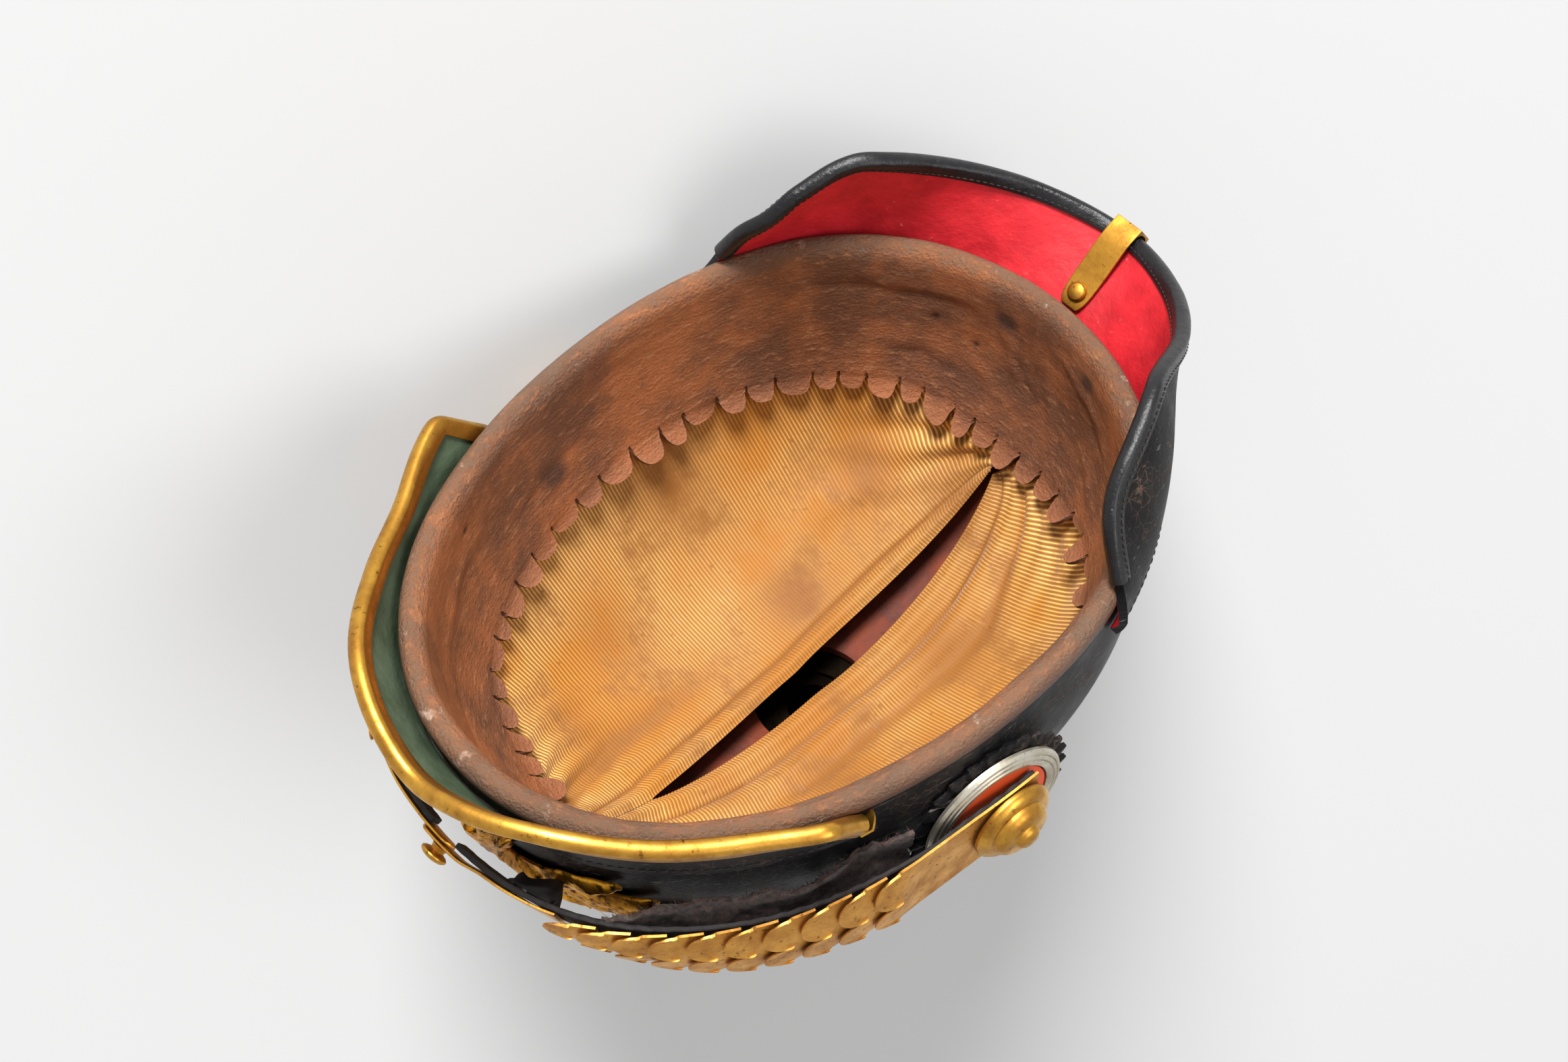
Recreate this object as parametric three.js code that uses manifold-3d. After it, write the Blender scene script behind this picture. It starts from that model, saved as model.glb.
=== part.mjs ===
// A leather spiked helmet of the old infantry kind. Millimetres. It is built upright in its own frame:
// +X the wearer's right, +Y the brow, +Z the crown, with the origin in the middle of the rim.
// The last section lays it down on the spike's tip, the left cockade and the left side of the back.
import * as THREE from 'three';
import { mergeVertices } from 'three/addons/utils/BufferGeometryUtils.js';
import Module from 'manifold-3d';

const wasm = await Module();
wasm.setup();

// ---------------------------------------------------------------- driving dimensions

const gap = 0.3; // between pieces that touch
const skull = { halfWidth: 83, halfLength: 107, height: 103, roundness: 2.6, wall: 2.8, edgeZ: 1.5 };
// The rim's plan: narrow at the brow, full at its quarters, with the left side pressed in
const oval = { egg: 0.053, boxy: 0.105, pressed: 0.012 };
const crownBack = 10; // how far the crown lies behind the middle of the rim
const ventRadius = 17.5;

const lining = { halfWidth: 78.6, halfLength: 102.6, height: 90, roundness: 2.6, thick: 1.0, tuck: 6 };
const liningCut = { turn: 86, spread: 0.9, ease: 1.15 }; // the rows of each half, from rear to front
const slit = { rear: -0.83, front: 0.6, width: 8.4, shift: 0.012, lean: 0.06, closed: 0.5 };

const band = { thick: 1.4, tongues: 54, notch: 6, seat: 0.9, clear: 3 };
// Where the band folds over the rim: insets from the skull's surface, and depths below it
const bandFold = { outer: 0.45, outerDrop: 0.6, lowest: 3.9, inner: 5.6, innerDrop: 1.8, top: 8 };
const bandHeights = [ // height of the band's inner edge round the helmet
  { angle: -180, height: 44 },
  { angle: -120, height: 51 },
  { angle: -90, height: 57 },
  { angle: -60, height: 51 },
  { angle: 0, height: 44 },
  { angle: 45, height: 46 },
  { angle: 90, height: 60 },
  { angle: 135, height: 48 },
  { angle: 180, height: 44 },
];

const frontVisor = { thick: 2.4, seamZ: 9, steps: 20, middle: 90, spread: 1.13 };
const frontVisorEdge = [ // reach out from the rim, drop below it, and belly of the leather between
  { angle: 29, reach: 7, drop: 8, belly: 3 },
  { angle: 40, reach: 5, drop: 9.5, belly: 3 },
  { angle: 55, reach: 6.5, drop: 12.5, belly: 3 },
  { angle: 70, reach: 10, drop: 16, belly: 4 },
  { angle: 80, reach: 12, drop: 14, belly: 5 },
  { angle: 90, reach: 12.3, drop: 9, belly: 5 },
  { angle: 100, reach: 12, drop: 14, belly: 5 },
  { angle: 110, reach: 10, drop: 16, belly: 4 },
  { angle: 125, reach: 6, drop: 12.5, belly: 3 },
  { angle: 140, reach: 4.5, drop: 9.5, belly: 3 },
  { angle: 155, reach: 9, drop: 10, belly: 3 },
];

const rearVisor = { thick: 2.4, seamZ: 9, steps: 28, middle: -90, spread: 1 };
const rearVisorEdge = [
  { angle: -155.5, reach: 4, drop: -3, belly: 3.3 },
  { angle: -150.8, reach: -5, drop: 17, belly: 3 },
  { angle: -146, reach: -8.5, drop: 24, belly: 3.2 },
  { angle: -141, reach: -8, drop: 30, belly: 4.2 },
  { angle: -130, reach: -4, drop: 36.5, belly: 6.5 },
  { angle: -123, reach: 0, drop: 34, belly: 8 },
  { angle: -113, reach: 11, drop: 24, belly: 9 },
  { angle: -103, reach: 20, drop: 16, belly: 10 },
  { angle: -90, reach: 26.5, drop: 9.5, belly: 10.5 },
  { angle: -77, reach: 20, drop: 16, belly: 10 },
  { angle: -67, reach: 11, drop: 24, belly: 9 },
  { angle: -57, reach: 0, drop: 34, belly: 8 },
  { angle: -50, reach: -4, drop: 36.5, belly: 6.5 },
  { angle: -39, reach: -8, drop: 30, belly: 4.2 },
  { angle: -34, reach: -8.5, drop: 24, belly: 3.2 },
  { angle: -29.2, reach: -5, drop: 17, belly: 3 },
  { angle: -24.5, reach: 4, drop: -3, belly: 3.3 },
];

// Edging of the two visors, of brass in front and of sewn leather behind
const trim = { arm: 3.1, skin: 0.7, roll: 0.9, play: 0.3 };
const binding = { arm: 2.8, skin: 0.6, roll: 0.3, play: 0.35, lastShare: 0.3 };

const spine = { width: 9, thick: 1, tab: 24, standOff: 0.6, tabLift: 0.9 };
const rivet = { radius: 3.2, height: 1.6, fromEnd: 5 };

const plate = { standOff: 1.3, edge: 0.9, relief: 2.2, perDegree: 1.58, low: 15, middle: 44, high: 78 };
const wing = { feathers: 5, width: 8, root: 6, rootHeight: 64 };
const wingTips = { reach: 68, height: 66, lowReach: 27, lowHeight: 24 }; // of the top feather and the lowest
const tail = { feathers: 3, root: 36, spread: 15, width: 7 };
const spikeBase = { discRadius: 27, holeRadius: 11, armReach: 47, armWidth: 25, thick: 1.4, standOff: 0.9 };
const baseStud = { radius: 5, height: 3.6, ringRadius: 38, seat: 0.15 };
const collar = { innerRadius: 13, outerRadius: 18.5, height: 6 };
const spike = { footRadius: 12.4, waistRadius: 9, tipRadius: 1.8, length: 116, wall: 1.6, hollow: 70 };

const cockade = { height: 33.4, forward: 4, turn: 0.13, standOff: 0.6 };
const cockadeDisc = { radius: 25.5, seatRadius: 18.7, teeth: 26, toothDepth: 1.7, edgeThick: 0.84, rise: 2.6 };
const ring = { inner: 16.4, outer: 21.7, rise: 1.6 };
const boss = { radius: 12.2, height: 8.6, angle: 2 };

const strap = { halfWidth: 91.6, halfLength: 115.6, height: 32, frontHeight: 25, thick: 1.5 };
const strapRun = { from: -3, to: 87, tuck: 1.1 }; // tucked in where it passes over the cockade
const strapWidths = [ // of the leather and of the brass on it, along the strap
  { angle: -3, leather: 21, brass: 25 },
  { angle: 25, leather: 21, brass: 25 },
  { angle: 50, leather: 18, brass: 21 },
  { angle: 68, leather: 13, brass: 14 },
  { angle: 78, leather: 9, brass: 10 },
  { angle: 84, leather: 6, brass: 6.5 },
  { angle: 95, leather: 6, brass: 6 },
];
const strapSides = [ // bulge away from the skull at the quarter; the right end lies on the left one
  { name: 'right', sign: 1, bulge: 2.5, endTo: 94, endLift: 1.6 },
  { name: 'left', sign: -1, bulge: 0, endTo: 92.5, endLift: 0.3 },
];
const strapLean = 24; // the front of the strap leans out over the visor
const scale = { count: 10, first: 24, pitch: 5, lap: 1.5, flatTo: 9, thick: 0.8, bow: 1.6 };
const cloth = { from: 20, to: 64, waves: 4, depth: 4.5, thick: 2, width: 22 };
const strapEnd = { from: 67.5, thick: 0.9 };
const strapStud = { angle: 89.5, radius: 4, height: 4.2 };

const lying = [-0.846, -0.318, 0.427]; // roughly the way to the floor, seen from the helmet

// ---------------------------------------------------------------- materials

function finish(color, roughness, metalness = 0) {
  return new THREE.MeshStandardMaterial({ color, roughness, metalness });
}

const blackLeather = finish(0x17161a, 0.35);
const brownLeather = finish(0x7a4a2c, 0.7);
const greenLeather = finish(0x3c4a38, 0.6);
const redLeather = finish(0xb01f2b, 0.6);
const feltCloth = finish(0x2b2320, 0.95);
const silk = finish(0xdba956, 0.75);
const brass = finish(0xc9932f, 0.3, 1);
const silver = finish(0xcfc9b8, 0.35, 1);
const redPaint = finish(0xd2481f, 0.5);
const blackPaint = finish(0x1b1a1a, 0.5);

// ---------------------------------------------------------------- small helpers

const rad = THREE.MathUtils.degToRad;
const lerp = THREE.MathUtils.lerp;
const vec = (x, y, z) => new THREE.Vector3(x, y, z);
const range = (count) => Array.from({ length: count }, (_, i) => i);

// Smooth value of one column of a table at an angle
function tableAt(rows, column, angle) {
  const last = rows.length - 1;
  const i = THREE.MathUtils.clamp(rows.findIndex((row) => row.angle > angle) - 1, 0, last - 1);
  const k = angle >= rows[last].angle ? last - 1 : i;
  const t = (angle - rows[k].angle) / (rows[k + 1].angle - rows[k].angle);
  const [a, b, c, d] = [Math.max(k - 1, 0), k, k + 1, Math.min(k + 2, last)].map((n) => rows[n][column]);
  const curved = (2 * a - 5 * b + 4 * c - d) * t * t + (3 * b - a - 3 * c + d) * t ** 3;
  return 0.5 * (2 * b + (c - a) * t + curved);
}

// Volume enclosed by a triangle mesh, negative when its faces point inwards
function signedVolume(points, index) {
  let sum = 0;
  for (let i = 0; i < index.length; i += 3) {
    const [a, b, c] = [points[index[i]], points[index[i + 1]], points[index[i + 2]]];
    sum += a.dot(b.clone().cross(c));
  }
  return sum / 6;
}

function meshFrom(points, index) {
  if (signedVolume(points, index) < 0) index.reverse();
  const geometry = new THREE.BufferGeometry();
  const position = points.flatMap((p) => p.toArray());
  geometry.setAttribute('position', new THREE.Float32BufferAttribute(position, 3));
  geometry.setIndex(index);
  return geometry;
}

// Triangles that close the end of a loft, found in the section's own plane
function capOf(section) {
  const normal = vec(0, 0, 0);
  section.forEach((p, i) => normal.add(p.clone().cross(section[(i + 1) % section.length])));
  const turn = new THREE.Quaternion().setFromUnitVectors(normal.normalize(), vec(0, 0, 1));
  const flat = section.map((p) => p.clone().applyQuaternion(turn)).map((p) => new THREE.Vector2(p.x, p.y));
  return THREE.ShapeUtils.triangulateShape(flat, []);
}

// One closed body through sections of equal point count, open ended with caps or joined into a ring
function loft(sections, joined = false, caps = [sections[0], sections.at(-1)].map(capOf)) {
  const across = sections[0].length;
  const points = sections.flat();
  const index = [];
  const rows = joined ? sections.length : sections.length - 1;
  for (let i = 0; i < rows; i += 1) {
    const near = i * across;
    const far = ((i + 1) % sections.length) * across;
    for (let j = 0; j < across; j += 1) {
      const k = (j + 1) % across;
      index.push(near + j, far + j, far + k, near + j, far + k, near + k);
    }
  }
  if (!joined) {
    const end = (sections.length - 1) * across;
    caps[0].forEach(([a, b, c]) => index.push(a, b, c));
    caps[1].forEach(([a, b, c]) => index.push(end + a, end + c, end + b));
    if (!capsMatch(index, rows * across * 6)) flipCaps(index, rows * across * 6);
  }
  return meshFrom(points, index);
}

// The first cap's edges must run against the wall's edges that they meet
function capsMatch(index, wallEnd) {
  const wall = new Set();
  for (let i = 0; i < wallEnd; i += 3) {
    for (let j = 0; j < 3; j += 1) wall.add(`${index[i + j]},${index[i + ((j + 1) % 3)]}`);
  }
  for (let i = wallEnd; i < index.length; i += 3) {
    for (let j = 0; j < 3; j += 1) {
      if (wall.has(`${index[i + j]},${index[i + ((j + 1) % 3)]}`)) return false;
    }
  }
  return true;
}

function flipCaps(index, wallEnd) {
  for (let i = wallEnd; i < index.length; i += 3) {
    [index[i + 1], index[i + 2]] = [index[i + 2], index[i + 1]];
  }
}

function solidOf(geometry) {
  const bare = geometry.clone();
  bare.deleteAttribute('normal');
  bare.deleteAttribute('uv');
  const merged = mergeVertices(bare, 1e-4);
  const vertProperties = Float32Array.from(merged.getAttribute('position').array);
  const triVerts = Uint32Array.from(merged.getIndex().array);
  return new wasm.Manifold(new wasm.Mesh({ numProp: 3, vertProperties, triVerts }));
}

function geometryOf(solid) {
  const mesh = solid.getMesh();
  const geometry = new THREE.BufferGeometry();
  geometry.setAttribute('position', new THREE.Float32BufferAttribute(mesh.vertProperties, 3));
  geometry.setIndex(Array.from(mesh.triVerts));
  return geometry;
}

const helmet = new THREE.Group();

function addPiece(name, geometry, material) {
  const mesh = new THREE.Mesh(geometry, material);
  mesh.name = name;
  helmet.add(mesh);
  return mesh;
}

// Turned piece standing along `axis` from `base`, from a profile of [radius, height] pairs
function turned(profile, sides, base, axis) {
  const geometry = new THREE.LatheGeometry(profile.map(([r, h]) => new THREE.Vector2(r, h)), sides);
  const turn = new THREE.Quaternion().setFromUnitVectors(vec(0, 1, 0), axis.clone().normalize());
  geometry.applyQuaternion(turn);
  return geometry.translate(base.x, base.y, base.z);
}

// ---------------------------------------------------------------- the skull's surface

// Plan oval. Angle 0 is the wearer's right, 90 the brow, 180 the left
function ovalPoint(angle, halfWidth, halfLength) {
  const s = Math.sin(rad(angle));
  const c = Math.cos(rad(angle));
  const full = 1 - oval.egg * s + oval.boxy * s * s + oval.pressed * c;
  return vec(halfWidth * c * full, halfLength * s, 0);
}

// Outward direction of the rim in plan
function outwardAt(angle) {
  const step = 0.5;
  const ahead = ovalPoint(angle + step, skull.halfWidth, skull.halfLength);
  const along = ahead.sub(ovalPoint(angle - step, skull.halfWidth, skull.halfLength)).normalize();
  return vec(along.y, -along.x, 0);
}

// How much a dome's section at height z has shrunk from its rim
function sectionScale(z, dome) {
  const share = THREE.MathUtils.clamp(z / dome.height, 0, 1);
  return (1 - share ** dome.roundness) ** (1 / dome.roundness);
}

const crownShift = (z) => -crownBack * THREE.MathUtils.clamp(z / skull.height, 0, 1) ** 1.5;

// Point at height z on a dome's surface, moved in towards the head by inset
function domeAtHeight(dome, angle, z, inset = 0) {
  const s = sectionScale(z, dome);
  const p = ovalPoint(angle, dome.halfWidth * s, dome.halfLength * s);
  p.addScaledVector(outwardAt(angle), -inset);
  return p.add(vec(0, crownShift(z), z));
}

// The same dome, larger all round by lift
function grown(dome, lift) {
  const { halfWidth, halfLength, height, roundness } = dome;
  return { halfWidth: halfWidth + lift, halfLength: halfLength + lift, height: height + lift, roundness };
}

// Point on a dome's surface by angle and by rho, 1 at the rim and 0 at the crown
function domeAtRho(dome, angle, rho, inset = 0) {
  const height = dome.height - inset;
  const z = height * (1 - Math.min(rho, 1) ** dome.roundness) ** (1 / dome.roundness);
  const p = ovalPoint(angle, (dome.halfWidth - inset) * rho, (dome.halfLength - inset) * rho);
  return p.add(vec(0, crownShift(z), z));
}

// ---------------------------------------------------------------- shell

const shellHeights = [skull.edgeZ, 21, 41, 59, 75, 87, 94, 99];

function makeShell() {
  const stations = 40;
  const topRho = 0.17;
  const sections = range(stations).map((k) => {
    const angle = (360 * k) / stations;
    const side = (inset) => {
      const rhos = shellHeights.map((z) => sectionScale(z, skull));
      const wallPoints = rhos.map((rho) => domeAtRho(skull, angle, rho, inset));
      wallPoints[0].z = skull.edgeZ;
      const top = domeAtRho(skull, angle, topRho, inset).z;
      const rim = vec(Math.cos(rad(angle)), Math.sin(rad(angle)), 0).multiplyScalar(ventRadius);
      return [...wallPoints, rim.add(vec(0, -crownBack, top))];
    };
    return [...side(0), ...side(skull.wall).reverse()];
  });
  return loft(sections, true);
}

// ---------------------------------------------------------------- sweatband and lining

function bandTop(angle) {
  return tableAt(bandHeights, 'height', THREE.MathUtils.euclideanModulo(angle + 180, 360) - 180);
}

function makeSweatband() {
  const perTongue = 2;
  const stations = band.tongues * perTongue;
  const seat = skull.wall + band.seat; // inset of the band's outer face
  const sections = range(stations).map((k) => {
    const angle = (360 * k) / stations;
    const top = bandTop(angle) - (k % perTongue === 0 ? band.notch : 0);
    const at = (inset, z) => domeAtHeight(skull, angle, z, inset);
    const outerTop = domeAtHeight(lining, angle, top, band.clear);
    const innerTop = domeAtHeight(lining, angle, top, band.clear + band.thick);
    return [
      at(bandFold.outer, -bandFold.outerDrop),
      at(skull.wall, -bandFold.lowest),
      at(bandFold.inner, -bandFold.innerDrop),
      at(seat + band.thick, bandFold.top),
      innerTop,
      outerTop,
      at(seat, skull.edgeZ - gap),
    ];
  });
  return loft(sections, true);
}

// One half of the lining: rows run from the slit's edge out to the band
function makeLining(sign) {
  const rows = 16;
  const across = 6;
  const halfGap = (y) => {
    const t = THREE.MathUtils.clamp((y - slit.rear) / (slit.front - slit.rear), 0, 1);
    const open = lerp(slit.closed, slit.width, Math.sin(Math.PI * t) ** 0.7);
    return open / 2 / lining.halfWidth;
  };
  const sheet = (inset) => range(rows).map((i) => {
    const turn = lerp(-liningCut.turn, liningCut.turn, i / (rows - 1));
    const angle = sign > 0 ? turn : 180 - turn;
    const top = bandTop(angle) - lining.tuck;
    const outerRho = sectionScale(top, lining);
    const outer = new THREE.Vector2(Math.cos(rad(angle)), Math.sin(rad(angle))).multiplyScalar(outerRho);
    const y = liningCut.spread * outerRho * Math.sin(rad(turn)) / Math.sin(rad(liningCut.turn));
    const inner = new THREE.Vector2(slit.shift + slit.lean * y + sign * halfGap(y), y);
    return range(across).map((j) => {
      const q = inner.clone().lerp(outer, (j / (across - 1)) ** liningCut.ease);
      return domeAtRho(lining, THREE.MathUtils.radToDeg(Math.atan2(q.y, q.x)), q.length(), inset);
    });
  });
  const above = sheet(0);
  const below = sheet(lining.thick);
  return loft(above.map((row, i) => [...row, ...below[i].slice().reverse()]));
}

// ---------------------------------------------------------------- visors

const visorClear = 0.8; // room for the flats of the faceted shell
const visorRows = [0, 0.33, 0.67, 1]; // rows of points from the seam to the edge
const visorTop = rearVisor.seamZ + 3; // just above the neck guard's upper edge

// Middle surface of a visor: t runs from the seam on the skull to the free edge
function visorPoint(visor, rows, angle, t) {
  const reach = tableAt(rows, 'reach', angle);
  const drop = tableAt(rows, 'drop', angle);
  const rim = (a, out) => ovalPoint(a, skull.halfWidth, skull.halfLength).addScaledVector(outwardAt(a), out);
  const seamAngle = visor.middle + (angle - visor.middle) * visor.spread;
  const seam = domeAtHeight(skull, seamAngle, visor.seamZ, -(visorClear + visor.thick / 2));
  const edge = rim(angle, reach).add(vec(0, 0, -drop));
  const belly = rim((angle + seamAngle) / 2, tableAt(rows, 'belly', angle));
  belly.z = (visor.seamZ - drop) / 2;
  const curve = new THREE.QuadraticBezierCurve3(seam, belly, edge);
  return curve.getPoint(t);
}

// The surface's own directions at a point: along t, along the angle, and its upper face
function visorFrame(visor, rows, angle, t) {
  const step = 0.01;
  const [first, last] = [rows[0].angle, rows.at(-1).angle];
  const before = THREE.MathUtils.clamp(angle - 1, first, last);
  const after = THREE.MathUtils.clamp(angle + 1, first, last);
  const origin = visorPoint(visor, rows, angle, t);
  const across = visorPoint(visor, rows, angle, Math.min(t + step, 1));
  across.sub(visorPoint(visor, rows, angle, Math.min(t + step, 1) - step)).normalize();
  const along = visorPoint(visor, rows, after, t).sub(visorPoint(visor, rows, before, t)).normalize();
  const face = across.clone().cross(along).normalize();
  return { origin, across, along, face };
}

function makeVisor(visor, rows) {
  const sections = range(visor.steps + 1).map((k) => {
    const angle = stationAngle(visor, rows, k);
    const side = (lift) => visorRows.map((t) => {
      const frame = visorFrame(visor, rows, angle, t);
      return frame.origin.addScaledVector(frame.face, lift);
    });
    return [...side(visor.thick / 2), ...side(-visor.thick / 2).reverse()];
  });
  return loft(sections);
}

// The part of one direction that is square to another
const squareTo = (v, w) => v.clone().addScaledVector(w, -v.dot(w)).normalize();

// Channel that wraps a visor's edge. Each spot on its path has the edge's own point, way out and upper face,
// and the root that its two arms reach back to, with the upper face there
function edgeChannel(path, plateThick, channel) {
  const inside = plateThick / 2 + gap + channel.play;
  const outside = inside + channel.skin;
  const web = gap + channel.play;
  const lip = web + channel.skin + channel.roll;
  const profile = [
    [-channel.arm, inside],
    [web, inside],
    [web, -inside],
    [-channel.arm, -inside],
    [-channel.arm, -outside],
    [lip, -outside * 0.85],
    [lip, outside * 0.85],
    [-channel.arm, outside],
  ];
  const place = ({ origin, out, face, root, rootFace }) => profile.map(([o, f]) => (o < 0
    ? root.clone().addScaledVector(rootFace, f)
    : origin.clone().addScaledVector(out, o).addScaledVector(face, f)));
  const cap = THREE.ShapeUtils.triangulateShape(profile.map(([o, f]) => new THREE.Vector2(o, f)), []);
  return loft(path.map(place), false, [cap, cap]);
}

// Spot on a visor's border, its root lying towards another point of the same flat
function borderSpot(border, inner, out, arm) {
  const share = arm / border.origin.distanceTo(inner.origin);
  const root = border.origin.clone().lerp(inner.origin, share);
  const rootFace = border.face.clone().lerp(inner.face, share);
  return { origin: border.origin, out, face: border.face, root, rootFace };
}

const stationAngle = (visor, rows, k) => lerp(rows[0].angle, rows.at(-1).angle, k / visor.steps);

function freeEdge(visor, rows, arm) {
  return range(visor.steps + 1).map((k) => {
    const frameAt = (t) => visorFrame(visor, rows, stationAngle(visor, rows, k), t);
    const [border, inner] = [frameAt(1), frameAt(visorRows[2])];
    return borderSpot(border, inner, squareTo(border.across, border.along), arm);
  });
}

// Edge of the front visor: up one side, round the squared corners, and down the other
function frontEdgePath() {
  const rows = frontVisorEdge;
  const last = frontVisor.steps;
  const frameAt = (k, t) => visorFrame(frontVisor, rows, stationAngle(frontVisor, rows, k), t);
  const side = (end, t) => {
    const border = frameAt(end, t);
    const out = squareTo(border.along, border.across).multiplyScalar(end === 0 ? -1 : 1);
    return borderSpot(border, frameAt(end === 0 ? 1 : last - 1, t), out, trim.arm);
  };
  const edge = freeEdge(frontVisor, rows, trim.arm);
  const corner = (end) => {
    const [a, b] = [side(end, 1), edge[end]];
    const out = a.out.clone().add(b.out);
    const root = a.root.clone().add(b.root).sub(a.origin);
    return { ...b, out: out.multiplyScalar(2 / out.lengthSq()), root };
  };
  const [first, second] = [0, last].map((end) => [visorRows[1], visorRows[2]].map((t) => side(end, t)));
  return [...first, corner(0), ...edge.slice(1, -1), corner(last), ...second.reverse()];
}

// Edge of the neck guard, stopping a little short of the rim at both ends
function rearEdgePath() {
  const edge = freeEdge(rearVisor, rearVisorEdge, binding.arm);
  const between = (near, far) => Object.fromEntries(
    Object.keys(near).map((key) => [key, near[key].clone().lerp(far[key], binding.lastShare)]),
  );
  return [between(edge[1], edge[0]), ...edge.slice(1, -1), between(edge.at(-2), edge.at(-1))];
}

// ---------------------------------------------------------------- brass strip down the back

// Point on the flats of the neck guard's middle line, off its upper face by lift
function guardPoint(t, lift) {
  const i = Math.max(visorRows.findIndex((row) => row >= t), 1);
  const [near, far] = [visorRows[i - 1], visorRows[i]].map((row) => {
    const frame = visorFrame(rearVisor, rearVisorEdge, -90, row);
    return frame.origin.addScaledVector(frame.face, lift);
  });
  return near.lerp(far, (t - visorRows[i - 1]) / (visorRows[i] - visorRows[i - 1]));
}

const guardPoints = visorRows.map((t) => guardPoint(t, 0));
const guardLength = guardPoints.slice(1).reduce((sum, p, i) => sum + p.distanceTo(guardPoints[i]), 0);

function makeSpine() {
  const half = spine.thick / 2;
  const above = rearVisor.thick / 2 + spine.standOff + half;
  const below = above + spine.tabLift;
  const overBinding = rearVisor.thick / 2 + binding.play + binding.skin + 4 * gap + half;
  const edge = visorFrame(rearVisor, rearVisorEdge, -90, 1);
  const beyond = binding.play + binding.skin + binding.roll + 4 * gap + half;
  const { origin, across, face } = edge;
  const around = (out, lift) => origin.clone().addScaledVector(across, out).addScaledVector(face, lift);
  const onShell = shellHeights.slice(1, -1).reverse()
    .map((z) => domeAtHeight(skull, -90, z, -(spine.standOff + half)));
  onShell.push(domeAtHeight(skull, -90, visorTop, -(spine.standOff + half)));
  const tabEnd = 1 - spine.tab / guardLength;
  const path = [
    ...onShell,
    guardPoint(0, above),
    guardPoint(0.33, above),
    guardPoint(0.67, above),
    around(-binding.arm, overBinding),
    around(beyond, overBinding * 0.85),
    around(beyond, -overBinding * 0.95),
    around(-binding.arm, -overBinding - spine.tabLift),
    guardPoint(0.67, -below),
    guardPoint(tabEnd + 3 / guardLength, -below),
    guardPoint(tabEnd, -below),
  ];
  const strip = path.map((p, i) => {
    const next = path[Math.min(i + 1, path.length - 1)];
    const along = next.clone().sub(path[Math.max(i - 1, 0)]).normalize();
    const stripFace = vec(1, 0, 0).cross(along).normalize();
    const wide = i === path.length - 1 ? spine.width * 0.3 : spine.width / 2;
    const corners = [[-wide, half], [wide, half], [wide, -half], [-wide, -half]];
    return corners.map(([x, lift]) => p.clone().add(vec(x, 0, 0)).addScaledVector(stripFace, lift));
  });
  return loft(strip);
}

function makeSpineRivet() {
  const t = 1 - (spine.tab - rivet.fromEnd) / guardLength;
  const lift = rearVisor.thick / 2 + spine.standOff + spine.tabLift + spine.thick + gap;
  const base = guardPoint(t, -lift);
  const down = base.clone().sub(guardPoint(t, 0)).normalize();
  const { radius: r, height: h } = rivet;
  return turned([[0, 0], [r, 0], [0.8 * r, 0.6 * h], [0, h]], 12, base, down);
}

// ---------------------------------------------------------------- bird plate on the brow

// Ridged strip laid on the brow along points [across, up, width], part of the plate's relief
function reliefStrip(points, relief) {
  const sections = points.map(([x, z, width], i) => {
    const [ax, az] = points[Math.max(i - 1, 0)];
    const [bx, bz] = points[Math.min(i + 1, points.length - 1)];
    const length = Math.hypot(bx - ax, bz - az);
    const [nx, nz] = [-(bz - az) / length, (bx - ax) / length];
    const spot = (w, lift) => {
      const angle = 90 - (x + nx * w) / plate.perDegree;
      return domeAtHeight(skull, angle, z + nz * w, -(plate.standOff + lift));
    };
    const w = width / 2;
    return [spot(-w, 0), spot(w, 0), spot(w, plate.edge), spot(0, relief), spot(-w, plate.edge)];
  });
  return solidOf(loft(sections));
}

// Feather from a root [across, up] to a tip, widest in its middle and bent upwards there
function feather(root, tip, width, bend) {
  const widths = [0.8, 1.25, 1.2, 0.45];
  return reliefStrip(widths.map((share, i) => {
    const t = i / (widths.length - 1);
    const lift = bend * Math.sin(Math.PI * t);
    return [lerp(root[0], tip[0], t), lerp(root[1], tip[1], t) + lift, width * share];
  }), plate.relief);
}

// Plain spread bird: body, head turned to one side, wings and tail
function makeFrontPlate() {
  const { low, middle, high } = plate;
  const lowBody = [[0, low + 8, 12], [0, middle - 8, 21], [0, middle + 6, 24]];
  const body = [...lowBody, [0, high - 14, 14], [0, high - 6, 9]];
  const head = [[-1, high - 8, 9], [3, high - 1, 10], [10, high - 1, 3]];
  const strips = [reliefStrip(body, 3.6), reliefStrip(head, 3.4)];
  [1, -1].forEach((sign) => {
    range(wing.feathers).forEach((k) => {
      const t = k / (wing.feathers - 1);
      const tipHeight = lerp(wingTips.height, wingTips.lowHeight, t ** 0.8);
      const tip = [sign * lerp(wingTips.reach, wingTips.lowReach, t ** 1.6), tipHeight];
      const root = [sign * wing.root, lerp(wing.rootHeight, middle - 2, t)];
      strips.push(feather(root, tip, wing.width, 5 * (1 - t)));
    });
  });
  range(tail.feathers).forEach((k) => {
    const t = k / (tail.feathers - 1) - 0.5;
    const tip = [t * 2 * tail.spread, low + 6 * Math.abs(t)];
    strips.push(feather([t * 8, tail.root], tip, tail.width, 0));
  });
  return geometryOf(strips.reduce((all, strip) => all.add(strip)));
}

// ---------------------------------------------------------------- spike and its base

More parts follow.
